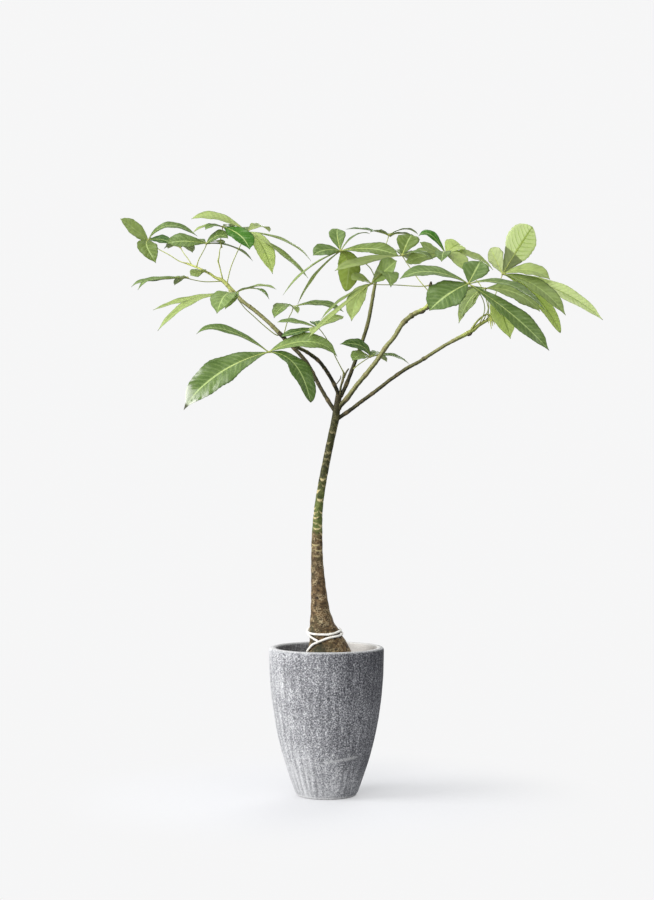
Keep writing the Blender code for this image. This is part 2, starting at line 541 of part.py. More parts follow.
def make_leaf(name, carrier, points, leaflets, parts, material, grown):
    """A compound leaf: petiole, hub and leaflets joined into one solid, cut off its branch."""
    thick, thin = PETIOLE_RADII
    count = len(points)
    radii = [thick + (thin - thick) * min(1, 2 * i / (count - 1)) for i in range(count)]
    route = [(*point, radius) for point, radius in zip(points, radii)]
    hub = Vector(points[-1]) * CM
    pieces = new_collection(name + "_pieces")
    tube(name + "_petiole", route, pieces, 1)
    for i, row in enumerate(leaflets):
        make_blade(f"{name}_{i + 1}", hub, row, pieces)
    bpy.ops.mesh.primitive_uv_sphere_add(segments=6, ring_count=4, radius=HUB_RADIUS, location=hub)
    leaf = bpy.context.object
    leaf.name = name
    boolean(leaf, pieces, "UNION")
    boolean(leaf, grown[carrier], "DIFFERENCE")
    leaf = as_mesh(leaf)
    leaf.data.materials.append(material)
    leaf.data.shade_smooth()
    leaf.data.set_sharp_from_angle(angle=math.radians(40))
    for group in list(leaf.users_collection):
        group.objects.unlink(leaf)
    parts.objects.link(leaf)
    for piece in list(pieces.objects):
        bpy.data.objects.remove(piece, do_unlink=True)
    bpy.data.collections.remove(pieces)


def string_route(winds, steps, bark):
    """The string's route, from its angles and heights, laid on the trunk's bark."""
    x, y = TRUNK[4][0] * CM, TRUNK[4][1] * CM
    route = []
    for angle, height in smooth_route(winds, steps):
        turn = math.radians(angle)
        away = Vector((math.cos(turn), -math.sin(turn), 0))
        start = Vector((x, y, height * CM)) + away * POT_RADIUS
        hit, outward = bark.ray_cast(start, -away)[:2]
        lying = (hit + outward * (STRING_RADIUS + STRING_LIFT)) / CM
        route.append((*lying, STRING_RADIUS / CM))
    return route


def make_string(parts, cutters, material):
    bark = BVHTree.FromObject(bpy.data.objects["trunk"], bpy.context.evaluated_depsgraph_get())
    string = tube("tie_string", string_route(STRING_WINDS, 3, bark), parts, 1)
    end = tube("tie_string_end", string_route(STRING_END, 2, bark), parts, 1)
    as_cutter(end, cutters)
    boolean(string, end, "UNION")
    string.data.materials.append(material)


def main():
    clear_scene()
    parts = new_collection("potted_pachira")
    cutters = new_collection("cutters")
    looks = {name: new_material(name) for name in LOOKS}
    make_pot(parts, cutters, looks["pot"])
    grown = make_wood(parts, cutters, looks["bark"], looks["green_wood"])
    make_soil(parts, looks["soil"], grown["trunk"])
    make_string(parts, cutters, looks["string"])
    for name, (carrier, points, leaflets) in LEAVES.items():
        look = looks["young_leaf"] if name == "leaf_pale_right" else looks["leaf"]
        make_leaf(name, carrier, points, leaflets, parts, look, grown)


main()
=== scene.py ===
# %% [markdown]
# # A potted Pachira, from a plain frame to a finished plant
# The frame is a set of plain solids in their right places: a pot, its soil, a trunk with its
# branches, a string and twenty-one compound leaves. This lesson leaves them where they are and
# makes the surfaces that are seen. Each step first says what the thing is on a real plant, how it
# could be made, and why one way was chosen.

# %% Load the frame
import math
import random

import bpy
import numpy as np
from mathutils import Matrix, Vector, noise
from mathutils.bvhtree import BVHTree


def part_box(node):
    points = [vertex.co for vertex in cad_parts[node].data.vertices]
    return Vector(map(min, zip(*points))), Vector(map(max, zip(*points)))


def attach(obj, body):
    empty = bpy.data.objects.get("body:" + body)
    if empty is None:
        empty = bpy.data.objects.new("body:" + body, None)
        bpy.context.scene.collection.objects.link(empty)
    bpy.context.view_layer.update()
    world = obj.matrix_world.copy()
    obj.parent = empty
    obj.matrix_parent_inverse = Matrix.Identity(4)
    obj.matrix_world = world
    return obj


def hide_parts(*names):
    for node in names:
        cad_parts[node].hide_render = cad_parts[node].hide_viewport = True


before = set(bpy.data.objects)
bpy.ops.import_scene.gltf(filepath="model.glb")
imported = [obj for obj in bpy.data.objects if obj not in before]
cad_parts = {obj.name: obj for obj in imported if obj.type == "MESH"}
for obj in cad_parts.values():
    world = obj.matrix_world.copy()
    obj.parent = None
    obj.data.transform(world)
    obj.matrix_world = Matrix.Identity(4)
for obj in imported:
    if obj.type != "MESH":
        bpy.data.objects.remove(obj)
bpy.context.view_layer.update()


# %% [markdown]
# ## The camera
# The plant is 1.24 m tall and is looked at from 4 m away, level, from a height of 0.73 m. A level
# camera keeps the pot's sides upright, so nothing has to be turned afterwards, and from that far
# near and far leaves keep nearly one size.

# %% Place the camera
CAMERA_PLACE = (0.001, -4.0, 0.73)
CAMERA_LENS = 75.5
camera_data = bpy.data.cameras.new("portrait_camera")
camera_data.lens = CAMERA_LENS
camera = bpy.data.objects.new("portrait_camera", camera_data)
camera.location = CAMERA_PLACE
camera.rotation_euler = (math.radians(90), 0, 0)
bpy.context.scene.collection.objects.link(camera)
bpy.context.scene.camera = camera
print("camera 4 m in front, lens", CAMERA_LENS, "mm")

# %% [markdown]
# ## Shader maths in Python
# A procedural finish is arithmetic on values that change over a surface: a mask times a colour, a
# noise plus a wave. Wiring that by hand fills a screen with boxes. One small class wraps a socket,
# so that plain Python signs add the Math nodes, and one method adds any other node.

# %% A socket that does arithmetic
class Shade:
    """What leaves a node: a value, a vector or a colour that changes over a surface."""

    def __init__(self, tree, socket=None):
        self.tree, self.socket = tree, socket

    def node(self, kind, settings=None, sockets=None, output=0):
        """Adds a node, sets its settings first and then its sockets, by value or by link."""
        made = self.tree.nodes.new("ShaderNode" + kind)
        for name, value in (settings or {}).items():
            setattr(made, name, value)
        for name, value in (sockets or {}).items():
            if isinstance(value, Shade):
                self.tree.links.new(value.socket, made.inputs[name])
            else:
                made.inputs[name].default_value = value
        return Shade(self.tree, made.outputs[output] if made.outputs else None)

    def math(self, operation, *values):
        return self.node("Math", {"operation": operation}, dict(enumerate(values)))

    # The signs of arithmetic, and | for the larger of two
    __add__ = __radd__ = lambda self, other: self.math("ADD", self, other)
    __sub__ = lambda self, other: self.math("SUBTRACT", self, other)
    __rsub__ = lambda self, other: self.math("SUBTRACT", other, self)
    __mul__ = __rmul__ = lambda self, other: self.math("MULTIPLY", self, other)
    __or__ = lambda self, other: self.math("MAXIMUM", self, other)
    size = lambda self: self.math("ABSOLUTE", self)

    def within(self, low, high):
        """0 below low, 1 above high, smooth between; the other way round if low > high."""
        if low > high:
            return 1 - self.within(high, low)
        return self.node("MapRange", {"interpolation_type": "SMOOTHSTEP"},
                         {"Value": self, "From Min": low, "From Max": high})

    def vector(self, operation, *values, output="Vector"):
        return self.node("VectorMath", {"operation": operation},
                         dict(enumerate((self, *values))), output)

    def scaled(self, *by):
        return self.vector("MULTIPLY", by)

    def parts(self):
        split = self.node("SeparateXYZ", sockets={"Vector": self})
        return [Shade(self.tree, socket) for socket in split.socket.node.outputs]

    def layer(self, name):
        """The three numbers of a layer that is stored on the mesh."""
        return self.node("Attribute", {"attribute_name": name}, output="Vector")

    def grain(self, scale, detail=3.0, roughness=0.55):
        """Noise over this vector, from 0 to 1."""
        return self.node("TexNoise", sockets={
            "Vector": self, "Scale": scale, "Detail": detail, "Roughness": roughness})

    def cells(self, scale, **settings):
        """How far a place is from the middle of its cell, or from what the settings say."""
        return self.node("TexVoronoi", settings, {"Vector": self, "Scale": scale})

    def ramp(self, *rows):
        """The colours that rows of position, red, green and blue give to this value."""
        colours = self.node("ValToRGB", sockets={"Fac": self})
        stops = colours.socket.node.color_ramp.elements
        while len(stops) < len(rows):
            stops.new(1.0)
        for stop, (position, *colour) in zip(stops, rows):
            stop.position = position
            stop.color = (*colour, 1.0)
        return colours

    def tint(self, under, over):
        """One colour turning into another as this value goes from 0 to 1."""
        under, over = (c if isinstance(c, Shade) else (*c, 1.0) for c in (under, over))
        return self.node("Mix", {"data_type": "RGBA"}, {0: self, 6: under, 7: over}, output=2)

    def coated(self, *coats):
        """This colour under others, each laid on by its mask."""
        colour = self
        for mask, paint in coats:
            colour = mask.tint(colour, paint)
        return colour


def new_finish(name, **plain):
    """A material, its shader with plain values on its sockets, and the place on the surface."""
    material = bpy.data.materials.new(name)
    material.use_nodes = True
    shader = material.node_tree.nodes["Principled BSDF"]
    for words, value in plain.items():
        shader.inputs[words.replace("_", " ")].default_value = value
    return material, shader, Shade(material.node_tree).node("TexCoord", output="Object")


def wire(shader, **varying):
    for words, shade in varying.items():
        shade.tree.links.new(shade.socket, shader.inputs[words.replace("_", " ")])


def show(material, surface):
    wire(material.node_tree.nodes["Material Output"], Surface=surface)


def bump(height, distance):
    """A normal from a height in metres times distance."""
    return height.node("Bump", sockets={"Height": height, "Distance": distance})


print("shader tools ready")

# %% [markdown]
# ## A plain studio
# The plant stands on a pale floor that runs into a pale background without a line. A real studio
# does that with a sheet of paper and much light. Here the floor and the world show the camera one
# fixed pale colour, and only the floor round the pot is lit, so it keeps the shadow. A large soft
# lamp from the left and above gives the pot its light and dark side.

# %% Floor, world and lamps
PAPER = (0.923, 0.923, 0.926, 1.0)
LIT_FLOOR_RADIUS = 0.62       # metres from the pot within which the floor is lit
LAMPS = {    # where each stands, what it points at, its width and its watts
    "window_left": ((-4.2, -1.2, 2.2), (0, 0, 0.5), 3.0, 228),
    "room_front": ((-1.4, -4.8, 2.4), (0, 0, 0.6), 3.0, 150),
    "sky_above": ((-0.6, -0.8, 4.0), (0, 0, 0.9), 2.2, 40),
    "paper_behind": ((0.8, 3.2, 1.3), (0.1, 0, 1.1), 2.6, 90),
}

# The world is the paper to the camera and in gloss, and soft light to everything else
world = bpy.data.worlds.new("studio")
world.use_nodes = True
world.node_tree.nodes.clear()
start = Shade(world.node_tree)
seen = (start.node("LightPath") | start.node("LightPath", output="Is Glossy Ray")
        | start.node("LightPath", output="Is Transmission Ray"))
paper = start.node("Background", sockets={"Color": PAPER, "Strength": 1.0})
light = start.node("Background", sockets={"Color": (0.93, 0.96, 1.0, 1.0), "Strength": 0.6})
both = start.node("MixShader", sockets={0: seen, 1: light, 2: paper})
start.node("OutputWorld", sockets={"Surface": both})
bpy.context.scene.world = world

bpy.ops.object.select_all(action="DESELECT")
bpy.ops.mesh.primitive_plane_add(size=60, location=(0, 0, -0.0005))
floor = bpy.context.object
floor.name = "studio_floor"
floor_paint, floor_shader, place = new_finish(
    "floor_paper", Roughness=1.0, Specular_IOR_Level=0.0, Base_Color=(0.36, 0.36, 0.37, 1.0))
paint = Shade(place.tree, floor_shader.outputs[0])
away = place.scaled(1, 1, 0).vector("LENGTH", output="Value")
glow, lift = (place.node("Emission", sockets={"Color": PAPER, "Strength": s}) for s in (1.0, 0.4))
lit = place.node("AddShader", sockets={0: paint, 1: lift})
near = away.within(LIT_FLOOR_RADIUS, LIT_FLOOR_RADIUS * 0.28)
shown = place.node("MixShader", sockets={0: near, 1: glow, 2: lit})
show(floor_paint, place.node("MixShader", sockets={0: place.node("LightPath"), 1: paint, 2: shown}))
floor.data.materials.append(floor_paint)

for name, (stand, aim, width, watts) in LAMPS.items():
    data = bpy.data.lights.new(name, "AREA")
    data.shape = "DISK"
    data.size = width
    data.energy = watts
    lamp = bpy.data.objects.new(name, data)
    lamp.location = stand
    lamp.rotation_euler = (Vector(aim) - Vector(stand)).to_track_quat("-Z", "Y").to_euler()
    bpy.context.scene.collection.objects.link(lamp)
bpy.context.scene.view_settings.view_transform = "Standard"
print("studio lit with", len(LAMPS), "soft lamps")

# %% [markdown]
# ## Bringing a piece into the frame
# Every finished surface stands for one solid of the frame. One helper names it, gives it its
# finish, says which body it rides on and which solid it replaces, and prints how far its box
# differs from that solid's, so that a slip in a number shows at once.

# %% Tools for pieces
CM = 0.01
MERGED = 1e-6       # metres within which two points of a piece are one


def select_only(piece):
    bpy.ops.object.select_all(action="DESELECT")
    piece.select_set(True)
    bpy.context.view_layer.objects.active = piece


def added(add, **settings):
    """The object that one of the primitive operators adds, alone selected."""
    bpy.ops.object.select_all(action="DESELECT")
    add(**settings)
    return bpy.context.object


def copy_of(piece):
    twin = piece.copy()
    twin.data = piece.data.copy()
    bpy.context.scene.collection.objects.link(twin)
    return twin


def points_of(piece):
    flat = np.empty(len(piece.data.vertices) * 3)
    piece.data.vertices.foreach_get("co", flat)
    return flat.reshape(-1, 3)


def move_points(piece, places):
    piece.data.vertices.foreach_set("co", np.asarray(places, dtype=float).ravel())
    piece.data.update()


def write_layer(piece, name, *columns):
    """Stores three numbers a point on the mesh, for the finish to read."""
    rows = np.zeros((len(piece.data.vertices), 3))
    for k, column in enumerate(columns):
        rows[:, k] = column
    layer = piece.data.attributes.new(name, "FLOAT_VECTOR", "POINT")
    layer.data.foreach_set("vector", rows.ravel())


def weld(piece, outward=True):
    """Merges points lying on each other, turns faces outwards if asked to and shades it smooth."""
    select_only(piece)
    bpy.ops.object.mode_set(mode="EDIT")
    bpy.ops.mesh.select_all(action="SELECT")
    bpy.ops.mesh.remove_doubles(threshold=MERGED)
    if outward:
        bpy.ops.mesh.normals_make_consistent(inside=False)
    bpy.ops.object.mode_set(mode="OBJECT")
    bpy.ops.object.shade_smooth()


def modified(piece, kind, **settings):
    """Puts a modifier with these settings on a piece, and applies it."""
    select_only(piece)
    modifier = piece.modifiers.new(kind.lower(), kind)
    for name, value in settings.items():
        setattr(modifier, name, value)
    bpy.ops.object.modifier_apply(modifier=modifier.name)


def join(pieces):
    select_only(pieces[0])
    for piece in pieces:
        piece.select_set(True)
    if len(pieces) > 1:
        bpy.ops.object.join()
    return bpy.context.object


def into_frame(piece, name, slot, *nodes, finish=None):
    piece.name = piece.data.name = name
    if finish:
        piece.data.materials.append(finish)
    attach(piece, "root")
    report = f"{name}: {len(piece.data.polygons)} faces"
    if nodes:
        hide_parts(*nodes)
        low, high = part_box(nodes[0])
        own = points_of(piece)
        over = max(max(low[i] - own[:, i].min(), own[:, i].max() - high[i]) for i in range(3))
        report += f", at most {over * 1000:.1f} mm outside {nodes[0]}"
    print(report)


# %% [markdown]
# ## The pot
# The pot is cast from cement and stone powder in a ribbed mould and brushed afterwards, which
# leaves soft upright ribs, a thick rounded lip and a rough speckled skin. Cutting it from a
# cylinder would need a bevel for every curve. As it is a turned shape, its outline is drawn
# instead, by extruding one vertex, and spun round like clay on a wheel.

# %% Draw the outline and spin it
POT_HEIGHT = 0.313
POT_RADIUS = 0.122
POT_TAPER = 0.058
POT_SWELL = 2.2
POT_WALL = 0.0155
POT_FLOOR = 0.02
POT_LIP = 0.006
POT_FOOT = 0.004
POT_CORNER = 0.012
FLOOR_RING = 0.04       # a ring of points round the drain holes
RIBS = 36
FACES_PER_RIB = 8


def pot_outside(height):
    return POT_RADIUS - POT_TAPER * (1 - height / POT_HEIGHT) ** POT_SWELL


def spread(start, end, steps):
    return [start + (end - start) * i / steps for i in range(steps + 1)]


def arc(x, z, radius, start, end, steps):
    turn = [math.radians(degrees) for degrees in spread(start, end, steps)]
    return [(x + radius * math.cos(a), z + radius * math.sin(a)) for a in turn]


def spun(profile, steps):
    """A closed shape turned from points of radius and height that start and end on the axis."""
    piece = added(bpy.ops.mesh.primitive_plane_add, size=1, location=(0, 0, 0))
    bpy.ops.object.mode_set(mode="EDIT")
    bpy.ops.mesh.select_all(action="SELECT")
    bpy.ops.mesh.merge(type="CENTER")
    x, z = profile[0]
    bpy.ops.transform.translate(value=(x, 0, z))
    for radius, height in profile[1:]:
        bpy.ops.mesh.extrude_region_move(
            TRANSFORM_OT_translate={"value": (radius - x, 0, height - z)})
        x, z = radius, height
    bpy.ops.mesh.select_all(action="SELECT")
    bpy.ops.mesh.spin(steps=steps, angle=2 * math.pi, center=(0, 0, 0), axis=(0, 0, 1))
    bpy.ops.object.mode_set(mode="OBJECT")
    weld(piece)
    return piece


corner_height = POT_FLOOR + POT_CORNER
lip_height = POT_HEIGHT - POT_LIP
inner_corner = pot_outside(corner_height) - POT_WALL
profile = [(0, POT_FLOOR), (FLOOR_RING, POT_FLOOR), (inner_corner - POT_CORNER, POT_FLOOR)]
profile += [(pot_outside(z) - POT_WALL, z) for z in spread(corner_height, lip_height, 22)]
profile += arc(POT_RADIUS - POT_WALL + POT_LIP, lip_height, POT_LIP, 180, 90, 5)[1:]
profile += arc(POT_RADIUS - POT_LIP, lip_height, POT_LIP, 90, 0, 5)[:-1]
profile += [(pot_outside(z), z) for z in spread(lip_height, 2 * POT_FOOT, 66)]
profile += arc(pot_outside(0) - POT_FOOT, POT_FOOT, POT_FOOT, 0, -90, 4)
profile += [(FLOOR_RING, 0), (0, 0)]
pot = spun(profile, steps=RIBS * FACES_PER_RIB)
print("pot spun:", len(pot.data.vertices), "points")

# %% [markdown]
# Four holes in the floor let the water out. A cylinder is subtracted for each, which cuts a clean
# round edge through the floor whatever the mesh around it looks like.

# %% Bore the drain holes
DRAIN_HOLES = 4
DRAIN_RADIUS = 0.006
DRAIN_CIRCLE = 0.034        # the radius of the circle that they lie on
for i in range(DRAIN_HOLES):
    angle = 2 * math.pi * (i + 0.5) / DRAIN_HOLES
    drill = added(
        bpy.ops.mesh.primitive_cylinder_add, vertices=24, radius=DRAIN_RADIUS, depth=2 * POT_FLOOR,
        location=(DRAIN_CIRCLE * math.cos(angle), DRAIN_CIRCLE * math.sin(angle), POT_FLOOR / 2))
    modified(pot, "BOOLEAN", operation="DIFFERENCE", solver="EXACT", object=drill)
    bpy.data.objects.remove(drill, do_unlink=True)
print("drain holes bored:", DRAIN_HOLES)

# %% [markdown]
# ### Ribs
# The wall has faint upright ribs, like a block that was combed while it was soft. They wander a
# little and fade out under the lip. Sculpting them takes an evening and an array of them looks like
# a machine's work, so each point of the wall is pushed in by a cosine of its place round the pot,
# weakened by noise. How deep it went is written into a layer, for the finish to read. The holes
# come first, because a Boolean modifier empties such a layer.

# %% Press the ribs and the unevenness into the wall
RIB_DEPTH = 0.0011
RIB_END, RIB_FADE = 0.018, 0.06      # how far under the lip they end, and over what height
RIB_START = 0.012       # the height over which they begin
WALL_WANDER = 0.0008
WALL_GRAIN = 0.00025
FLOOR_POINTS = 0.05     # the radius within which points belong to the floor
places = points_of(pot)
groove, inside = np.zeros((2, len(places)))
for i, (x, y, z) in enumerate(places):
    radius = math.hypot(x, y)
    if radius < FLOOR_POINTS or z < POT_FOOT:
        continue
    angle = math.atan2(y, x)
    own = noise.noise(Vector((3 * math.cos(angle), 3 * math.sin(angle), 1.5 * z)) * 1.7)
    rib = 0.5 - 0.5 * math.cos(angle * RIBS + 1.6 * own)
    strength = 0.75 + 0.9 * noise.noise(Vector((x, y, z * 0.4)) * 25)
    fade = min(max((POT_HEIGHT - RIB_END - z) / RIB_FADE, 0), 1) * min(z / RIB_START, 1)
    inside[i] = radius <= pot_outside(z) - 0.4 * POT_WALL
    groove[i] = 0 if inside[i] else rib ** 1.5 * max(strength, 0.1) * fade
    wander = WALL_WANDER * noise.noise(Vector((x, y, z)) * 14)
    rough = WALL_GRAIN * noise.noise(Vector((x, y, z)) * 190)
    shrink = 1 - (RIB_DEPTH * groove[i] + abs(wander) + abs(rough)) / radius
    places[i] = (x * shrink, y * shrink, z)
move_points(pot, places)
write_layer(pot, "cast", groove, inside)
select_only(pot)
bpy.ops.object.shade_smooth_by_angle(angle=math.radians(50))
print("ribs pressed:", RIBS)

# %% [markdown]
# ### Cast stone
# Close up the wall is a mix of white and dark grains a few millimetres wide. Over that lie upright
# streaks from brushing, a paler bloom of lime low on the wall and a pale scuff across the front.
# Light and shade are painted on as well. The bloom grows paler to the left, towards the lamp. The
# lip's top and a patch on the front left are painted paler. The rib grooves, the right side, the
# wall under the lip and the left of the inner wall are painted darker, and the right of the inner
# wall is painted pale. A picture of stone would show a seam and one size of grain; noises of
# several sizes don't. The grains also make the surface rough, so they feed the bump.

# %% Mix the stone
stone, stone_shader, place = new_finish("cast_stone", Specular_IOR_Level=0.25)
x, y, height = place.parts()
groove, inside, _ = place.layer("cast").parts()
coarse = place.grain(330, 2, 0.8)
fine = place.grain(700, 2, 0.7)
streak = place.scaled(1, 1, 0.05).grain(120, 3, 0.6)
cloud = place.grain(16, 3, 0.6)
low = height.within(0.16, -0.02)
left = (x * -1).within(-0.03, 0.13)
right = x.within(0.015, 0.05)
# The lime bloom lies low on the wall; its growth to the left, towards the lamp, is painted light
bloom_and_light = (cloud * 0.9 + low * 0.5 + left * 0.4 - 0.5).within(0.0, 0.9)
speckle_and_shading = coarse * 1.05 + fine * 0.5 + streak * 0.24 - 0.485
# Painted shade: darker under the lip and on the right, away from the lamp, most of all low down
speckle_and_shading -= height.within(0.25, 0.3) * x.within(-0.06, 0.08) * 0.05 + x.within(0.05, 0.12) * 0.04
speckle_and_shading -= right * low * 0.1 + right * height.within(0.17, 0.24) * 0.05
# Painted light: a lighter patch on the front left, towards the lamp
middle = height.within(0.185, 0.145) * height.within(0.05, 0.08)
speckle_and_shading += middle * x.within(0.035, -0.005) * x.within(-0.1, -0.07) * 0.04
crust_and_shading = (speckle_and_shading + bloom_and_light * 0.26).within(0.13, 0.75)
colour = crust_and_shading.ramp(
    (0.0, 0.032, 0.032, 0.038), (0.3, 0.13, 0.131, 0.142), (0.58, 0.29, 0.291, 0.305),
    (0.8, 0.54, 0.54, 0.55), (1.0, 0.8, 0.8, 0.8))
# A pale haze of lime low on the wall, and painted light on the left, towards the lamp
haze_and_light = low * (0.02 + left * 0.6 + cloud * 0.25) + left * cloud * 0.35
# Painted shade in the rib grooves, strongest low down and on the left, where the lamp grazes the
# ribs
groove_shade = groove * (0.1 + low * 0.2 + left * 0.4) * (fine * 1.2 + 0.1)
sunlit = x.within(-0.02, 0.05)
# Painted light: a pale band on the lip's top
rim_top_light = height.within(POT_HEIGHT - 0.004, POT_HEIGHT - 0.0005)
foot_line = height.within(0.0055, 0.0035) * height.within(0.001, 0.0025)
scuff_line = (height - 0.083 - x * 0.12).size() + place.grain(60) * 0.006
scuff = (scuff_line.within(0.0085, 0.003) * x.within(-0.01, 0.02)
         * x.within(0.078, 0.05) * y.within(0.0, -0.02))
# Pale marks: the painted light on the lip, the scuff, which is wear, and a pale line round the foot
pale_marks = rim_top_light * (coarse * 0.8 + 0.1) | scuff * 0.45 | foot_line * 0.6
colour = colour.coated(
    (haze_and_light, (0.52, 0.52, 0.53)), (groove_shade, (0.055, 0.055, 0.06)),
    (inside * (1 - sunlit) * 0.6, (0.055, 0.052, 0.05)),
    (inside * sunlit * (fine * 0.5 + 0.55), (0.68, 0.65, 0.61)), (pale_marks, (0.66, 0.66, 0.65)))
wire(stone_shader, Base_Color=colour, Roughness=0.98 - crust_and_shading * 0.12,
     Normal=bump(coarse * 0.7 + fine * 0.3 + streak * 0.3, 0.0022))
into_frame(pot, "pot_shell", "pot", "pot", finish=stone)

# %% [markdown]
# ## Soil
# Potting mix is dark and crumbly, and sags into lumps round the trunk. It could be sculpted, but a
# disc that is spun like the pot and moved up and down by noise sags as well and fits the wall.

# %% Fill the pot with soil
SOIL_TOP = 0.288
SOIL_GAP = 0.0004
reach = POT_WALL + SOIL_GAP
profile = [(r, SOIL_TOP) for r in spread(0.0, pot_outside(SOIL_TOP) - reach, 30)]
profile += [(pot_outside(z) - reach, z) for z in spread(SOIL_TOP, corner_height, 12)[1:]]
profile += [(inner_corner - POT_CORNER - SOIL_GAP, POT_FLOOR + SOIL_GAP), (0, POT_FLOOR + SOIL_GAP)]
soil = spun(profile, steps=120)


def soil_lump(x, y):
    """How high the soil stands over its level at a place, in metres."""
    at = Vector((x, y, 0))
    return (0.003 * noise.noise(at * 38) + 0.0018 * noise.noise(at * 110)
            + 0.0008 * noise.noise(at * 320) - 0.0022)


places = points_of(soil)
for i, (x, y, z) in enumerate(places):
    if z > SOIL_TOP - 1e-5:
        places[i, 2] = z + soil_lump(x, y)
move_points(soil, places)

earth, earth_shader, place = new_finish("potting_mix", Specular_IOR_Level=0.2)
crumb_noise = place.grain(260, 4, 0.7)
colour = (crumb_noise * 0.8 + place.grain(40) * 0.25).ramp(
    (0.2, 0.012, 0.008, 0.006), (0.5, 0.045, 0.03, 0.02), (0.75, 0.1, 0.07, 0.047),
    (1.0, 0.26, 0.21, 0.16))
wire(earth_shader, Base_Color=colour, Roughness=0.95 - crumb_noise * 0.1,
     Normal=bump(crumb_noise + place.cells(170) * 0.5, 0.003))
into_frame(soil, "potting_soil", "soil", "soil", finish=earth)

# %% [markdown]
# ### Crumbs
# Bits of bark and pale pumice lie on the soil. A particle system would strew them, but its copies
# aren't real meshes until they are converted, so a loop does it. One crumb with few faces is made
# from a small ball and copied. A number in a layer of each copy says if it is bark or pumice.

# %% Strew crumbs over it
CRUMBS = 420
CRUMB_SIZES = (0.001, 0.003)
STREWN_TO = 0.106       # the radius up to which they lie
chance = random.Random(7)
crumb = added(bpy.ops.mesh.primitive_ico_sphere_add, subdivisions=1, radius=1)
bpy.ops.object.mode_set(mode="EDIT")
bpy.ops.mesh.bevel(offset=0.25, affect="EDGES")
bpy.ops.object.mode_set(mode="OBJECT")
crumb_shape = points_of(crumb)
crumbs = []
for i in range(CRUMBS):
    angle = chance.uniform(0, 2 * math.pi)
    reach = math.sqrt(chance.uniform(0.13, 0.92)) * STREWN_TO
    big = chance.uniform(*CRUMB_SIZES)
    squash = [chance.uniform(0.7, 1.6), chance.uniform(0.6, 1.2), chance.uniform(0.4, 0.8)]
    cos, sin = math.cos(angle * 3), math.sin(angle * 3)
    x, y = reach * math.cos(angle), reach * math.sin(angle)
    dent = [1 + 0.25 * noise.noise(Vector(p) * 1.3 + Vector((i, 0, 0))) for p in crumb_shape]
    wide, deep, tall = crumb_shape.T * dent * np.array(squash)[:, None] * big
    crumbs.append(copy_of(crumb))
    move_points(crumbs[-1], np.column_stack([
        wide * cos - deep * sin + x, wide * sin + deep * cos + y,
        tall + SOIL_TOP + soil_lump(x, y) + big * 0.25]))
    write_layer(crumbs[-1], "kind", chance.random())
bpy.data.objects.remove(crumb, do_unlink=True)
bits, bits_shader, place = new_finish("bark_and_pumice", Roughness=0.9)
kind = place.layer("kind").parts()[0]
colour = (kind * 0.85 + place.grain(500) * 0.2 - 0.05).ramp(
    (0.0, 0.02, 0.012, 0.008), (0.5, 0.07, 0.042, 0.026), (0.8, 0.16, 0.11, 0.07),
    (1.0, 0.5, 0.47, 0.42))
wire(bits_shader, Base_Color=colour, Normal=bump(place.grain(900), 0.0008))
into_frame(join(crumbs), "soil_crumbs", "soil", finish=bits)

# %% [markdown]
# ## Stems that are rolled from a sheet
# Trunk, branches, leaf stalks and midribs are all tubes that follow a route and change their
# thickness. A curve with a bevel makes such tubes too, but it gives no say in their cross section.
# So a flat grid is rolled up like a sheet of paper: its width goes round the stem and its length
# follows the route, and each point may be pushed in or out. The grid's UV map stays, so the finish
# knows how far along and how far round it is.

# %% Roll a grid along a route
def numbers(text):
    """Rows of numbers, written with commas between the rows."""
    return [[float(word) for word in row.split()] for row in text.split(",")]


def smooth_route(points, steps=6):
    """Points on a smooth curve through the given points, of any number of coordinates."""
    points = np.array(points, dtype=float)
    padded = np.vstack([points[0], points, points[-1]])
    route = []
    for i in range(len(points) - 1):
        a, b, c, d = padded[i:i + 4]
        for step in range(steps):
            t = step / steps
            route.append(0.5 * (2 * b + (c - a) * t + (2 * a - 5 * b + 4 * c - d) * t * t
                                + (3 * b - a - 3 * c + d) * t ** 3))
    route.append(points[-1])
    return np.array(route)


def lengths(route):
    """How far along the route each of its points is."""
    steps = np.linalg.norm(np.diff(route[:, :3], axis=0), axis=1)
    return np.concatenate([[0], np.cumsum(steps)])


def sampled(route, stations):
    """Every column of a route at some lengths along it."""
    far = lengths(route)
    return np.column_stack([np.interp(stations, far, column) for column in route.T])


def unit(rows):
    return rows / np.linalg.norm(rows, axis=-1, keepdims=True)


def carried_frames(centres):
    """Two directions across the route at each point, turned as little as possible between them."""
    ahead = unit(np.gradient(centres, axis=0))
    across = [unit(np.cross(ahead[0], (0.3, 1.0, 0.2)))]
    for direction in ahead[1:]:
        across.append(unit(across[-1] - direction * np.dot(across[-1], direction)))
    return np.array(across), np.cross(ahead, across)


def ring(turn, across, beside):
    """The direction at an angle round the route, for each row of the two across it."""
    return across * np.cos(turn)[:, None] + beside * np.sin(turn)[:, None]


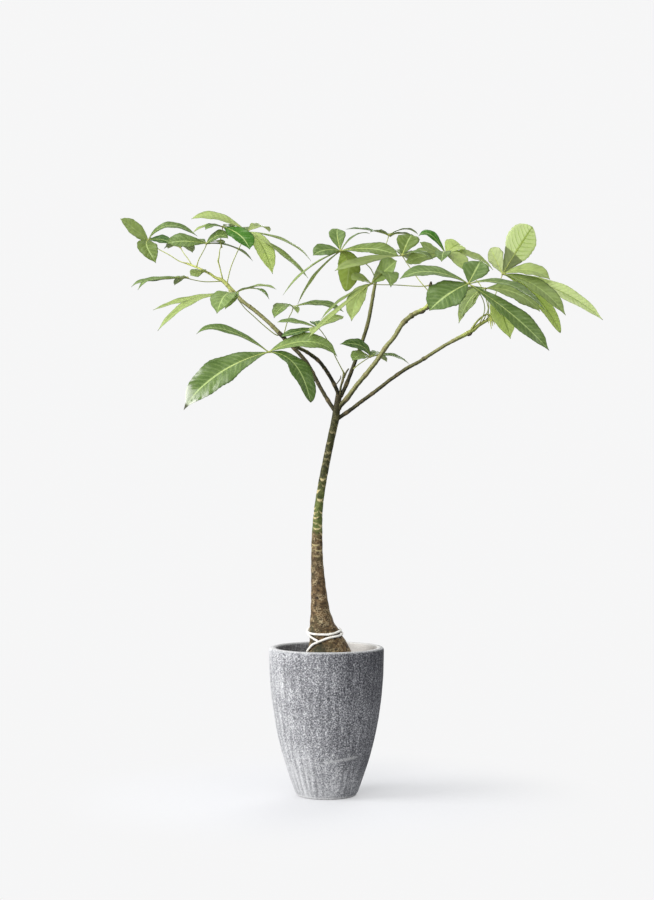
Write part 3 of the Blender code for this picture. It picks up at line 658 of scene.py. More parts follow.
def rolled(route, sides, rows, push=None):
    """A closed tube along route, whose rows are x, y, z and radius, and how far along its points
    are. push(along, places, outward) returns what each point's radius is multiplied by."""
    stations = np.linspace(0, lengths(route)[-1], rows - 1)
    stations = np.concatenate([[0], stations, stations[-1:]])
    line = sampled(route, stations)
    centres, radius = line[:, :3], line[:, 3]
    radius[[0, -1]] = 0
    spaced = centres.copy()
    spaced[0] = 2 * centres[1] - centres[2]
    spaced[-1] = 2 * centres[-2] - centres[-3]
    across, beside = carried_frames(spaced)
    tube = added(bpy.ops.mesh.primitive_grid_add, x_subdivisions=sides, y_subdivisions=rows, size=1)
    sheet = points_of(tube)
    row = np.rint((sheet[:, 1] + 0.5) * rows).astype(int)
    outward = ring((sheet[:, 0] + 0.5) * 2 * math.pi, across[row], beside[row])
    far = radius[row]
    if push:
        far = far * push(stations[row], centres[row], outward)
    move_points(tube, (centres[row] + outward * far[:, None]) * CM)
    return tube, stations[row]


print("stem tools ready")

# %% [markdown]
# ## The trunk
# A young Pachira's trunk flares into a swollen foot where it stores water. Older bark is brown and
# flecked with pale pores. Higher up it is still green, with a cream crescent wherever a leaf fell
# off. The foot's lobes and the swellings are pushed out of the rolled sheet, while scars and pores
# are only skin deep, so they belong in the finish.

# %% Roll the trunk
# Each row of a stem is a place on its route and its radius there, in centimetres
FOOT_LENGTH = 11.0
TRUNK = smooth_route(numbers("""
    0.5 0 26.2 4.9, 0.5 0 28.8 5, 0.2 0.1 30.9 4.4, -0.3 0.2 33.1 3.55, -0.8 0.3 35 3,
    -1.1 0.4 36.8 2.5, -1.4 0.5 39.5 2, -1.7 0.7 44 1.6, -2 1 49.5 1.3, -2 1.1 55 1.15,
    -1.7 1.1 60.5 0.95, -0.9 0.9 66 0.87, 0 0.6 70.7 0.83, 0.9 0.3 75.1 0.82, 1.8 0 79.2 0.83,
    2.1 0 81.2 0.8, 2.4 0 83.3 0.72, 2.7 0 85.2 0.66"""))


def noise_of(places, scale):
    return np.array([noise.noise(Vector(p) * scale) for p in places])


def trunk_push(along, places, outward):
    foot = np.clip(1 - along / FOOT_LENGTH, 0, 1)
    toward = np.arctan2(outward[:, 1], outward[:, 0])
    lobes = 0.05 * np.cos(3 * toward + 1.1) + 0.03 * np.cos(5 * toward - 0.6)
    lumps = noise_of(places + outward, 0.55) * 0.05 + noise_of(places + outward, 1.6) * 0.025
    rings = 0.018 * np.sin(places[:, 2] * 2.4 + 1.3 * np.sin(toward))
    return 0.98 + foot * lobes + lumps * (0.4 + foot) + rings * (1 - foot)


trunk, _ = rolled(TRUNK, sides=72, rows=300, push=trunk_push)
weld(trunk)
print("trunk rolled:", len(trunk.data.vertices), "points")

# %% [markdown]
# ### Bark
# The finish follows height: brown bark below, green-olive skin above, with a ragged border. Pores
# are small bright cells stretched sideways. A leaf scar is a short upturned arc. The stem is
# divided into bands by its UV map, each band draws its own place round the stem at random, and an
# arc is drawn there, which gives crisp scars without a single extra face.

# %% Mix the bark
bark, bark_shader, place = new_finish("pachira_bark", Specular_IOR_Level=0.2)
x, _, height = place.parts()
round_stem, up_stem, _ = place.node("UVMap", {"uv_map": "UVMap"}).parts()
ragged = height + (place.grain(45, 4) - 0.5) * 0.09
green = ragged.within(0.535, 0.57)
mottle = place.grain(150, 4, 0.65)
blotched = mottle.within(0.3, 0.7)
lines = place.scaled(1, 1, 4.0).grain(120, 3, 0.6)
brown = (mottle * 0.7 + lines * 0.3).within(0.33, 0.68)
brown = brown.tint((0.02, 0.014, 0.008), (0.18, 0.114, 0.054))
brown = (place.grain(22, 3).within(0.5, 0.66) * 0.5).tint(brown, (0.06, 0.062, 0.028))
skin = blotched.tint((0.042, 0.058, 0.014), (0.125, 0.155, 0.036))
# From about 0.63 m up the skin turns darker
darker_top_skin = blotched.tint((0.014, 0.015, 0.004), (0.056, 0.058, 0.014))
colour = ragged.within(0.625, 0.68).tint(green.tint(brown, skin), darker_top_skin)


def crescents(bands, shift, thick=0.26):
    """Short upturned crescents, one to a band of the stem, at a random place round it."""
    band = up_stem * bands + shift
    number = band.math("FLOOR", band)
    beside = round_stem - place.node(
        "TexWhiteNoise", {"noise_dimensions": "1D"}, {"W": number + shift * 7.3})
    beside = (beside - beside.math("ROUND", beside)) * 6.5
    bow = beside * beside
    curve = (band - number - 0.32 - bow * 0.42).size() + bow * 0.18
    return curve.within(thick, thick * 0.55)


arcs = crescents(52, 0.0) | crescents(41, 0.37) | crescents(34, 0.71, 0.2)
scarred = ragged.within(0.47, 0.56) * ragged.within(0.82, 0.76)
scarred *= ragged.within(0.7, 0.65) * 0.7 + 0.3
scar = arcs * scarred * place.grain(70).within(0.36, 0.5)
pore = (place.scaled(1, 1, 2.2).cells(170).within(0.16, 0.05)
        * place.grain(60).within(0.5, 0.62) * (1 - green * 0.6))
crack = (place.scaled(1, 1, 1.7).cells(150, feature="DISTANCE_TO_EDGE").within(0.09, 0.03)
         * place.grain(75, 3).within(0.45, 0.58) * (1 - green * 0.8))
# Dark patches low on the left of the foot
dark_foot_patches = height.within(0.37, 0.33) * x.within(0.018, -0.012) * place.grain(50, 3).within(0.35, 0.6)
colour = colour.coated(
    (pore * 0.75, (0.42, 0.33, 0.2)), (crack * 0.75, (0.42, 0.34, 0.2)),
    (dark_foot_patches * 0.8, (0.022, 0.026, 0.014)), (scar * 0.85, (0.56, 0.47, 0.24)),
    # Darker still from 0.79 m up, where the branches spring
    (height.within(0.79, 0.83) * 0.55, (0.04, 0.028, 0.016)))
wire(bark_shader, Base_Color=colour, Roughness=0.82 - green * 0.18 + pore * 0.1,
     Normal=bump(mottle * 0.6 + lines * 0.5 + pore * 0.5 + scar * 0.9, 0.0016))
into_frame(trunk, "trunk_wood", "trunk_bark", "trunk", finish=bark)

# %% [markdown]
# ## Branches
# Branches rise from the fork and are brown where they are old and olive to yellow-green where they
# grew last. Every few centimetres a ring shows where a leaf or a bud sat, and the stem is a little
# thicker there. They could be drawn as curves with a bevel, but are rolled like the trunk, which
# allows the rings. How young each is along its length goes into a layer, for the finish to read.

# %% Roll the branches
# First how young the wood is along each, as shares and youth from 0, brown, to 1, yellow-green
BRANCHES = {
    "branch_centre": ("0 0, 0.3 0.02, 0.45 0.25, 1 0.5", """
        2.7 0 84 0.42, 3.5 0.2 85.3 0.42, 5.1 1 89.2 0.42, 7.8 2.5 96.6 0.4, 9.1 3.2 101.3 0.4,
        10.2 4 107.5 0.36, 10.6 4 109.3 0.28"""),
    "branch_left_outer": ("0 0, 0.4 0.04, 0.45 0.36, 0.69 0.42, 0.72 0.85, 1 1", """
        2.2 0 80.8 0.45, 1.2 0 82.1 0.42, -1.2 1 86.1 0.41, -3.8 2 91 0.41, -5.6 2.5 93.3 0.41,
        -9.8 3.5 97.7 0.46, -12.5 4 100.4 0.41, -15.6 5 103.1 0.41, -18.1 5.5 105 0.43,
        -20.2 6 107.2 0.42, -22.3 6.5 109.4 0.42, -24 7 110.2 0.28, -25.3 7 111.1 0.28,
        -28.1 8 112.5 0.22, -30.2 9 113.4 0.22"""),
    "branch_left_inner": ("0 0, 0.6 0.1, 1 0.5", """
        2.5 0 84 0.42, 2.2 -0.6 85.6 0.42, 0.9 -1.8 88.2 0.4, -0.7 -3.2 90.6 0.4, -2 -4.2 92 0.4,
        -4 -5.5 93.4 0.38, -5.6 -6.5 94.2 0.36, -7.2 -7.5 94.8 0.34"""),
    "twig_centre": ("0 0.1, 1 0.4", """
        2.9 -0.3 84.4 0.26, 3 -0.7 86.2 0.24, 3.4 -1.2 87.6 0.24, 3.7 -1.5 89.2 0.28"""),
    "branch_right": ("0 0.2, 0.3 0.45, 0.78 0.5, 0.81 0.95, 0.89 0.95, 0.92 0.5, 1 0.5", """
        2.3 0 81.3 0.55, 2.9 -0.2 82.4 0.53, 4.4 -1 84 0.52, 6.5 -2 86.8 0.5, 8.6 -3 89.3 0.49,
        10.5 -3.5 91.7 0.48, 12.6 -4 94.8 0.47, 14.2 -4 96.7 0.46, 16 -3.6 99.6 0.5,
        18.1 -3 101.4 0.53, 20.6 -2.5 102.7 0.46, 21.6 -2.2 104 0.3, 22 -1.5 106 0.24,
        22 -1 107.8 0.22"""),
    "branch_far_right": ("0 0.05, 0.42 0.12, 0.55 0.35, 0.8 0.55, 0.84 0.9, 1 0.9", """
        1.6 0 78.9 0.45, 2.6 0 79.8 0.42, 4.8 -0.5 81.3 0.42, 7.3 -1 83.2 0.41, 10.6 -1.5 85.6 0.4,
        13.7 -2 88 0.39, 16.9 -2.5 90.2 0.39, 19.7 -2.8 91.7 0.38, 23.9 -3 94.4 0.37,
        26.5 -3 95.9 0.39, 29.2 -3.2 97.3 0.47, 30.9 -3.4 98.3 0.42, 32.1 -3.6 99.3 0.36,
        34.3 -4 100.5 0.3"""),
    "young_shoot": ("0 0.9, 1 1", """
        -22.3 6.5 109.4 0.16, -23 6 112.5 0.13, -23.3 5.8 113.6 0.17, -23.1 5.5 114.5 0.13,
        -22.9 5.2 116 0.1, -22.5 5 116.8 0.08"""),
}
NODE_SPACING = 2.3      # centimetres between two rings on a branch
ROWS_PER_CM = 4.5


def beads(along, width):
    """1 at the rings of a branch, falling off within a share of their spacing."""
    from_ring = np.abs((along / NODE_SPACING + 0.35 * np.sin(along * 0.9)) % 1 - 0.5)
    return np.exp(-(from_ring / width) ** 2)


def branch_push(along, places, outward):
    return 1 + 0.13 * beads(along, 0.07) + noise_of(places + outward * 0.3, 1.4) * 0.12


def roll_branch(youth, points, sides=20):
    route = smooth_route(numbers(points))
    rows = max(int(lengths(route)[-1] * ROWS_PER_CM), 12)
    piece, along = rolled(route, sides, rows, branch_push)
    share = along / along.max()
    write_layer(piece, "growth", np.interp(share, *zip(*youth)), beads(along, 0.06), share)
    weld(piece)
    return piece


branches = {name: roll_branch(numbers(youth), points) for name, (youth, points) in BRANCHES.items()}
print("branches rolled:", len(branches))

# %% [markdown]
# ### Shoots, stubs and knots
# Where a leaf fell off, a branch keeps a swollen ring, a dark stub or a few dry bud scales. They
# are what makes a twig look grown. Each could be sculpted out of its branch, but a short
# tube pushed into the branch's side is quicker and keeps both meshes closed and clean.

# %% Add the small shoots, stubs and bud scales
# Each is how young it is, and its route; none of them is more than a few centimetres long
SMALL_SHOOTS = """
0.85: 30.2 -3.5 97.9 0.26, 31 -3.8 99.2 0.22, 31.9 -4.1 100.3 0.2, 33.4 -4.3 101.4 0.16,
    34.4 -4.4 101.2 0.12;
0.1: 3.7 -1.5 88.2 0.2, 4.1 -1.4 89.3 0.19, 4.7 -1.3 90.2 0.15;
0: 2.1 -1.9 86.9 0.1, 2.9 -2.2 88 0.12, 3 -2.2 88.7 0.06;
0: 21.8 -1.3 107.1 0.26, 22 -1.1 107.9 0.36, 22.1 -1 108.6 0.18;
1: 34.3 -4.4 101.2 0.14, 34.6 -4.8 100.1 0.16, 34.8 -5 98.9 0.05;
1: 34.3 -4.4 101.2 0.12, 34.3 -4.9 99.8 0.15, 34.5 -5.1 98.3 0.05;
1: 34.3 -4.4 101.2 0.12, 34.9 -4.3 100.2 0.13, 35.3 -4.3 99.3 0.05;
1: 34.3 -4.4 101.2 0.12, 34 -4.6 100.4 0.12, 33.9 -4.8 99.5 0.05;
0.3: 16.2 -3.55 99.75 0.46, 16.5 -3.5 100.05 0.59, 16.8 -3.4 100.35 0.46;
0.3: 17.5 -3.2 100.9 0.48, 17.85 -3.1 101.2 0.61, 18.2 -3 101.5 0.48;
0: 19.5 -3.2 101.7 0.18, 20.2 -3.1 102 0.33, 20.8 -3 102.4 0.16;
0: 21 -2.9 102.5 0.14, 21.5 -2.8 102.9 0.26, 21.9 -2.7 103.2 0.12;
0.2: 20.1 -2.83 91.95 0.36, 20.45 -2.84 92.2 0.47, 20.8 -2.85 92.4 0.36;
0.2: 29.6 -3.2 97.2 0.3, 30.1 -3.3 97.4 0.42, 30.6 -3.4 97.9 0.22;
0: -10.2 2.9 98.2 0.26, -9.6 2.6 97.5 0.5, -8.7 2.6 96.9 0.24;
0.6: -19.9 5.4 106.4 0.3, -20.4 5.5 106.9 0.48, -20.9 5.7 107.5 0.3"""
shoots = [shoot.split(":") for shoot in SMALL_SHOOTS.split(";")]
small_shoots = join([
    roll_branch([(0, float(age)), (1, float(age))], points, sides=12)
    for age, points in shoots])
print("small shoots rolled:", len(shoots))

# %% [markdown]
# ### Young wood
# The youngest wood is yellow-green, then it turns olive and at last brown. The side that faces the
# lamps is painted lighter and the other side darker, as painted light and shade. One material does
# all of it: it reads from the mesh how young a place is, and from its normal which way it faces.
# Painting each branch by hand would show more care in one place and less in the next.

# %% Mix the young wood
young, young_shader, place = new_finish("young_wood", Specular_IOR_Level=0.25)
youth, bead, _ = place.layer("growth").parts()
mottle = place.grain(160, 4, 0.65)
fleck = place.cells(230).within(0.2, 0.08) * place.grain(90).within(0.5, 0.6)
facing = place.node("NewGeometry", output="Normal")
# Painted light and shade: the side facing the lamps gets the lighter colours, the other side the
# darker ones
toward_lamps = facing.vector("DOT_PRODUCT", (-0.55, -0.35, 0.76), output="Value")
shaded_length = place.grain(11, 2, 0.5).within(0.52, 0.66) * (1 - youth)
lamp_lit = (toward_lamps + mottle * 0.5 - 0.25).within(-0.1, 0.48) * (1 - shaded_length * 0.85)
grown = youth + mottle * 0.3 - 0.15
painted_shade_side = grown.ramp(
    (0.0, 0.01, 0.009, 0.003), (0.25, 0.022, 0.022, 0.007), (0.5, 0.105, 0.11, 0.034),
    (0.75, 0.16, 0.19, 0.045), (1.0, 0.26, 0.31, 0.06))
painted_lit_side = grown.ramp(
    (0.0, 0.046, 0.04, 0.019), (0.25, 0.185, 0.175, 0.07), (0.5, 0.3, 0.3, 0.125),
    (0.75, 0.33, 0.36, 0.11), (1.0, 0.46, 0.5, 0.13))
colour = lamp_lit.tint(painted_shade_side, painted_lit_side).coated(
    (fleck * 0.6, (0.4, 0.33, 0.19)), (bead * 0.4, (0.24, 0.18, 0.09)))
wire(young_shader, Base_Color=colour, Roughness=0.72 - youth * 0.25,
     Normal=bump(mottle + fleck * 0.5 + bead * 0.6, 0.0009))
into_frame(small_shoots, "small_shoots", "young_stem", finish=young)
for name, piece in branches.items():
    slot = "young_stem" if name == "young_shoot" else "branch_bark"
    into_frame(piece, name + "_wood", slot, name, finish=young)

# %% [markdown]
# ## The string
# A white cotton string goes twice round the trunk's foot and runs down into the pot, to hold the
# trunk in its soil. It lies on the bark, so its route is found by casting rays at the trunk. One
# tube with a twisted bump would be cheaper, but cotton string is three yarns laid round each other,
# and three thin tubes show that twist in shadow as well as in outline.

# %% Wind the string round the foot
STRING_RADIUS = 0.26
STRING_LIFT = 0.12
YARNS = 3
YARN_RADIUS = 0.135
YARN_TURN = 1.2         # centimetres in which a yarn goes once round the string
YARN_STEP = 0.09
# Angles in degrees, growing towards the front, and heights in centimetres
STRING_WINDS = """
    -10 34.9, 40 34.35, 70 34.1, 100 34.1, 140 34.3, 180 34.6, 240 35.3, 300 35.2, 355 34.1,
    395 33.65, 425 33.45, 450 33.1, 475 32.5, 492 32, 510 31, 525 30.2, 535 29.5"""
STRING_END = "172 34.5, 155 34, 136 33.35, 118 32.75, 112 32.6"
trunk_tree = BVHTree.FromPolygons(
    [v.co.copy() for v in trunk.data.vertices], [tuple(p.vertices) for p in trunk.data.polygons])


def on_bark(winds):
    """Points on the bark at angles and heights, lifted off it."""
    route = []
    for turn, level in smooth_route(numbers(winds), steps=10):
        x, y = (np.interp(level, TRUNK[:, 2], TRUNK[:, k]) for k in (0, 1))
        away = Vector((math.cos(math.radians(turn)), -math.sin(math.radians(turn)), 0))
        hit, normal, _, _ = trunk_tree.ray_cast((Vector((x, y, level)) + away * 12) * CM, -away)
        route.append(tuple((hit + normal * (STRING_LIFT + STRING_RADIUS) * CM) / CM))
    return np.array(route)


def lay_yarns(route):
    far = np.arange(0, lengths(route)[-1], YARN_STEP)
    centres = sampled(route, far)
    sides = carried_frames(centres)
    yarns = []
    for i in range(YARNS):
        path = centres + (STRING_RADIUS - YARN_RADIUS) * ring(
            2 * math.pi * (far / YARN_TURN + i / YARNS), *sides)
        yarn, _ = rolled(np.insert(path, 3, YARN_RADIUS, axis=1), sides=8, rows=len(path) + 1)
        weld(yarn)
        yarns.append(yarn)
    return yarns


string = join(lay_yarns(on_bark(STRING_WINDS)) + lay_yarns(on_bark(STRING_END)))
cotton, cotton_shader, place = new_finish("cotton_string", Sheen_Weight=0.3)
fibre = place.grain(1500, 3, 0.6)
clean = (place.grain(90, 2) * 0.6 + fibre * 0.4).within(0.3, 0.6)
wire(cotton_shader, Base_Color=clean.tint((0.62, 0.58, 0.5), (0.88, 0.86, 0.81)),
     Roughness=0.9 - fibre * 0.1, Normal=bump(fibre, 0.0006))
into_frame(string, "tie_string_yarn", "string", "tie_string", finish=cotton)

# %% [markdown]
# ## Leaves
# A Pachira leaf is compound: a long stalk with a swollen joint at each end, and five to eight
# leaflets that spread from the hub like fingers. A leaflet is widest past its middle and ends in a
# narrow drip tip. The plant is written down as a table, one row to a leaflet, because a table is
# easier to compare with the real plant and to mend than a hundred leaflets placed by hand.

# %% The leaves' table
# A leaf is its name, its stalk's route and its leaflets. A leaflet is its tip from the hub, the
# height of its midrib's bend, its width, how far its upper side leans to the back (below 0, to the
# front), its tone, and whatever sets it apart from the others. All lengths are in centimetres.
LEAVES = """
leaf_tip_left
-30.2 9 113.4, -32 9.5 114, -34.2 10 115.4, -37 11 117, -39 12 118.8
-5.6 -4 4.2 2.7 4 -1.6 olive peak=0.85
10.6 3 1.2 6.1 2.8 -0.7 green reach=0.35
5.2 -1 -0.8 0.6 2.8 -1 deep
2.5 6 0 1.5 2.2 0 green
2.3 -6 -5.6 -0.8 4.4 -0.4 moss sway=1.2 peak=1.15

leaf_high_left
-28.1 8 112.5, -27.6 7.2 114, -26.7 6 115.4, -25.9 4.5 116.6, -25.7 4 117.2
-8.2 -3 -0.3 0.7 4.3 -1.2 green
4.8 -3 0.7 2.7 3.2 -1.2 green peak=0.9
9.6 7.5 -3 1 3 -0.3 deep
3.5 6 0.5 1.5 2.6 0 green
-4 6 1 2 3 0 green

leaf_back_left
-29.2 8.5 113, -30 10.5 114.4, -31.2 12.5 116, -32.1 14 117.5
2.3 6 -0.6 1.4 2.8 0 deep
-3.2 6 0.3 1.6 2.6 0 deep
-3.6 0 -0.4 0.8 2.2 0 deep

leaf_top_left
-21.5 6.3 108.6, -20.6 5.2 112, -19.5 4 114.5, -18.9 3.5 115.7, -16.9 2 119.5
-12 1 2.8 5 3.4 -0.7 lime
-0.6 3.4 1.4 1 1.8 -0.4 green
5.5 -3 -9.3 -1.3 4.6 -1.2 pale side=0.3
4.6 6 0.6 2.8 4 -0.5 lime
13.6 2 -5.6 -0.6 3 -0.3 olive hook=0.5
13 -1 -10 -4 2.8 -0.4 olive

leaf_side_left
-22.3 6.5 109.4, -26 5 109.1, -29 3.5 109.5, -29.7 3 109.8
-11.9 -1 -1.2 -0.4 2.8 -0.4 green hook=0.9 peak=1.5
-10.2 -4 -1.6 0.1 2.8 -0.3 green hook=1.4 peak=1.5
-3.2 5 -1.2 0.4 1.9 0 deep
-2 -5 -0.4 0.2 1.6 0 fresh

leaf_small_left
-25.3 7 111.1, -25.6 6.2 111.3, -25.9 5.5 111.3
-3.2 -2 -1 -0.2 2.6 -1.4 olive peak=1.7
-1 -3 0.1 0.3 1.4 0 lime

leaf_mid_left
-9.8 3.5 97.7, -10.9 2.2 97.6, -13.5 0.6 99.6, -15.4 -0.7 101.3, -17.3 -2 103, -19.5 -3 105.9
-17 0 -3.5 -0.7 3.4 -0.4 lime
-15.6 -5 -8.2 0 3.8 -0.3 lime
-3.1 -8 -4.8 0.7 5.2 -0.4 fresh
-1.6 -4 -3.6 0.6 3 -0.3 fresh sway=-0.8
9 -2 0.7 2.6 3 -0.2 olive
7.6 -5 -1 2.2 2.6 0 green hook=0.6

leaf_inner_left
-9.2 3.2 97.2, -8.6 2.3 99.5, -8 1.5 101.2, -7.4 0.5 102.2, -7 0 103.4
10.6 -1 -1.2 1.7 3.2 -0.5 green
-4 -5 -2.8 0.9 3.4 -0.6 fresh side=-0.2
-4.5 5 0 1.5 2.2 0 green
1 -4 -1.8 0.2 1.3 0 olive

leaf_low_left
-7.2 -7.5 94.8, -9 -9.5 94.6, -10.6 -11.5 93.8, -11.8 -13 93.1
-17 -6 -11.2 -2.6 6.7 -1.4 dim side=0.3 peak=1.3 wave=0.1 hook=0.8 film=1 gloss=0.8
-14.8 -1 4.6 6.2 3.6 -0.5 green hook=1
14 1 -0.2 4.4 5.6 -0.7 fresh hook=0.7 peak=1.1
8.6 -5 -10.5 -0.2 5.6 -0.8 dim blunt=1 side=0.4 peak=1.4 sway=-1.3 wave=0.11

leaf_centre_left
3.7 -1.5 89.2, 2 -3.5 92.3, 0.3 -6 95.7, -1.1 -8 97.7, -1.8 -9 98.3
-8.4 -1 1.1 1.8 3 -0.4 green
-7.6 -3 -2 -0.9 2.7 -0.6 deep
-0.8 4 1.6 1.6 2.4 -0.3 deep
5.4 4.5 2.7 2.4 3 -0.6 olive
-1.3 -3.5 -1.6 0.3 1.8 -0.2 lime

leaf_centre_top
10.6 4 109.3, 9.3 1.5 111.7, 7.1 -1 113.2, 5.3 -2.5 114, 2.9 -4 114.8
-0.6 3 5 3.9 3.6 -1 green sway=-0.3
6.3 4 4 4.9 1.5 0 green reach=0.5
-5.7 -4 -1.4 0.5 3.8 -1.3 green
-12 -2 -9.5 -2.8 2.6 -0.1 olive
-9 3 -11 -3.9 2.6 -0.1 olive
1.2 5 -8.1 -0.7 4.9 0 moss blunt=1 sway=1.1 peak=1.1
12.1 -5 -1.7 1 4.6 -0.8 moss

leaf_centre
22 -1 107.8, 19.5 -1 107.6, 14.5 -2 107.8, 10.9 -2.8 107.8, 9.4 -3 108
5.3 -3 4.5 2.9 5.4 -1.5 fresh
3.9 -7 -1.4 4.8 4.6 -0.5 fresh side=0.3 sway=-1
-4.1 -3 0.4 1.8 3.4 -1 lime
-10.6 -2 -7.7 -2.6 2.2 -0.2 olive
-13.2 -14 -12.4 -7.4 1.6 -0.3 lime reach=0.7
-4.2 -4 -8.2 -1 4.2 -0.6 lime sway=0.5 peak=1.5

leaf_top_back
10.2 4 107.9, 10.9 7 110.5, 12.3 10 115.5, 13.6 10.5 119.8
-9.4 1 1.3 1.8 2.9 -0.2 deep
6.4 2 0.3 2.6 1.8 0 deep
5.5 -2 -0.6 0.6 2.8 0 deep
-4.2 -3 0.2 1.1 2.4 0 deep
0.5 6 0.2 1.2 2.6 0 deep

leaf_centre_low
5.4 1.2 90, 6.9 0.2 91.2, 9.2 -1 92.7
-6.4 -1.5 2.6 3.3 3.3 -1 deep reach=0.12
-3.8 -3.5 -1 1 3.4 -1 fresh
2.2 4 1.2 1.4 2.4 -0.4 green
8.4 2 -1.5 1.4 2.4 -0.4 green
3.7 4 -0.9 0.9 2.2 0 green

leaf_inner_right
22 -1.5 106, 20.1 0 108.4, 19.2 1 109.7, 17.2 1.5 112.6, 16.1 1.5 114.4
-14.4 -9.6 -4.2 -1.3 3.8 -0.6 lime
2.3 5 4.9 3.8 5 -1 moss
1.5 12 0.5 2.5 4 0 green
-2 9 1.5 2.6 3 0 green
6.5 -1 -1 1.5 3.4 -0.3 green

leaf_high_right
33.8 -3.9 100.2, 34 -2.6 103.2, 32.6 0.3 108, 29.3 2.4 111.5, 25.5 4 115
-5.7 2 4 6.3 3 -0.6 vivid
-5.7 -3 2.2 0.3 2.8 -1.4 olive
-8.5 4 -1.4 0 5.2 -1.1 olive
-1.3 -7 -2.4 1 3.5 0 green
3.4 4 2.4 2.3 4.9 -1.2 pale blunt=1
10.6 5 -3 1.1 4 -0.7 lime
4 -5 -4.4 0 3.8 -0.8 lime

leaf_front_right
31.9 -3.6 99, 33 -6.3 102.3, 31.6 -12 105, 28.8 -17 106.8
-14 -1 0.8 4.2 4.8 -0.6 green
-8.2 -5 -5.9 -2.3 7.6 -1.3 dim peak=1.1
2.8 4.5 5 2.9 5.6 -1.6 green
15.3 -1 -5.4 1.9 4.6 -0.4 green
15.8 -5 -13.9 -6.3 5.4 -0.9 green peak=1.35 gloss=0.5

leaf_behind_right
32.6 -3.7 99.6, 34 -4.6 103, 33.2 -5.2 106.8
-5.1 0.5 -6.1 -0.6 4.6 -0.8 olive side=0.2
-5.4 2 -7.2 -0.2 5.2 -0.8 lime
11.6 1 -4.8 0.5 5.8 -1 olive
-4.5 6.5 -0.8 1.2 3 0 green

leaf_pale_right
34.3 -4 100.5, 35.4 -1 104.7, 36.6 1.8 108, 37.6 3 110.6
6.7 3 10.4 6.6 7.5 2.4 bright blunt=1 dusk=0.36
-2.5 1 5.6 3.4 4.6 1.2 olive blunt=1
9.8 -3 -1.5 2.1 4.6 -0.8 lime
21 -3 -10.1 -2.2 4.5 -0.9 bright
12.7 -6 -9.3 -1.4 4.8 -0.8 olive
12.6 2 -12.5 -2.5 4.4 -1.2 pale blunt=1

leaf_low_right
33.3 -3.8 99.9, 34.6 -5.2 102.2, 35.6 -6 104.3
2.5 -3 -8.3 -1 5.8 -0.9 pale sway=0.8 peak=1.1
0.3 -6 -3.6 0 3 0 olive
5 3 -4.6 0 3.8 -0.4 olive

leaf_shoot_left
-22.5 5 116.4, -22.7 4.5 118, -22.4 3.6 119.6, -22.1 3 120.7
6.1 -9.5 -5.9 -2 4.8 -1.6 vivid side=0.4 peak=1.15 sway=-0.6
-6.6 0 -1.5 0.9 2.8 -0.3 lime
-3.6 -3 -1 0.6 2.6 -0.4 green
2 5 0.4 1.2 2.4 0 green
"""
# A tone is how pale, how yellow and how vivid a leaflet is painted. Besides the leaflet's own
# colour
# it holds painted light and shade: paler for leaflets that are lit or seen against the light,
# darker for those in shade
TONES = {
    "deep": (0.05, 0.1, 0), "green": (0.19, 0.3, 0), "olive": (0.42, 0.6, 0),
    "fresh": (0.45, 0.3, 0.1), "lime": (0.56, 0.85, 0), "pale": (0.97, 0.8, 0),
    "bright": (1.3, 0.8, 0), "vivid": (0.15, 0.6, 0.9), "dim": (0.11, 0.3, 0),
    "moss": (0.16, 1, 0),
}


def leaflet(line):
    """A leaflet's numbers by their names."""
    words = line.split()
    x, y, z, bend, width, lean = (float(word) for word in words[:6])
    own = {key: float(value) for key, value in (word.split("=") for word in words[7:])}
    return {"tip": np.array([x, y, z]), "bend": bend, "width": width, "lean": lean,
            "tone": words[6], **own}


leaves = {}
for block in LEAVES.strip().split("\n\n"):
    name, stalk, *rows = block.splitlines()
    leaves[name] = (np.array(numbers(stalk)), [leaflet(line) for line in rows])
print("leaves:", len(leaves), "leaflets:", sum(len(rows) for _, rows in leaves.values()))

# %% [markdown]
# ### One flat leaflet
# A leaflet is a thin sheet. It could be extruded from its outline, but then its faces wouldn't
# follow its veins. So one grid serves all leaflets, with columns that crowd to the margins a
# little, and it is bent into each of them later.

# %% Cut one flat leaflet
flat_blade = added(bpy.ops.mesh.primitive_grid_add, x_subdivisions=12, y_subdivisions=56, size=1)
ACROSS, ALONG = points_of(flat_blade)[:, :2].T
ALONG = ALONG + 0.5
ACROSS = np.sign(ACROSS) * np.abs(ACROSS * 2) ** 0.9
print("flat leaflet:", len(flat_blade.data.polygons), "faces")

# %% [markdown]
# ### Bending a leaflet
# A leaflet's two halves rise from the midrib, the side veins press a row of soft quilts into
# it, and its margin waves. Each leaflet of the plant is a copy of the flat one, bent along its own
# midrib in Python, because no modifier bends, folds, waves and twists one sheet in a single
# controlled step.

# %% Bend it along a midrib
FOLD = 0.21             # how far the halves rise from the midrib, by the half width
REACH = 0.6             # how far out a midrib's bend lies, by its tip's distance
PEAK = 1.25             # the higher, the nearer to its tip a leaflet is widest
FOOT_WIDTH, TIP_WIDTH = 0.26, 0.07      # the narrowest that a blade gets, in centimetres
VEIN_SPACING = 1.15
QUILT = 0.016           # how far the blade bulges between two side veins
WAVE = 0.055            # how far its margin waves, by the half width
DUSK = 0.95             # how much of its paleness a leaflet loses where it is in shade


def outline(t, row):
    """A leaflet's width along its length, 1 at its widest."""
    peak = row.get("peak", PEAK)
    if "blunt" in row:
        return np.sin(math.pi * t ** (peak + 0.3)) ** 0.62
    body = np.sin(math.pi * t ** peak) ** 0.85
    drip = np.clip((t - 0.86) / 0.14, 0, 1)
    return body * (1 - 0.55 * drip * drip * (3 - 2 * drip))


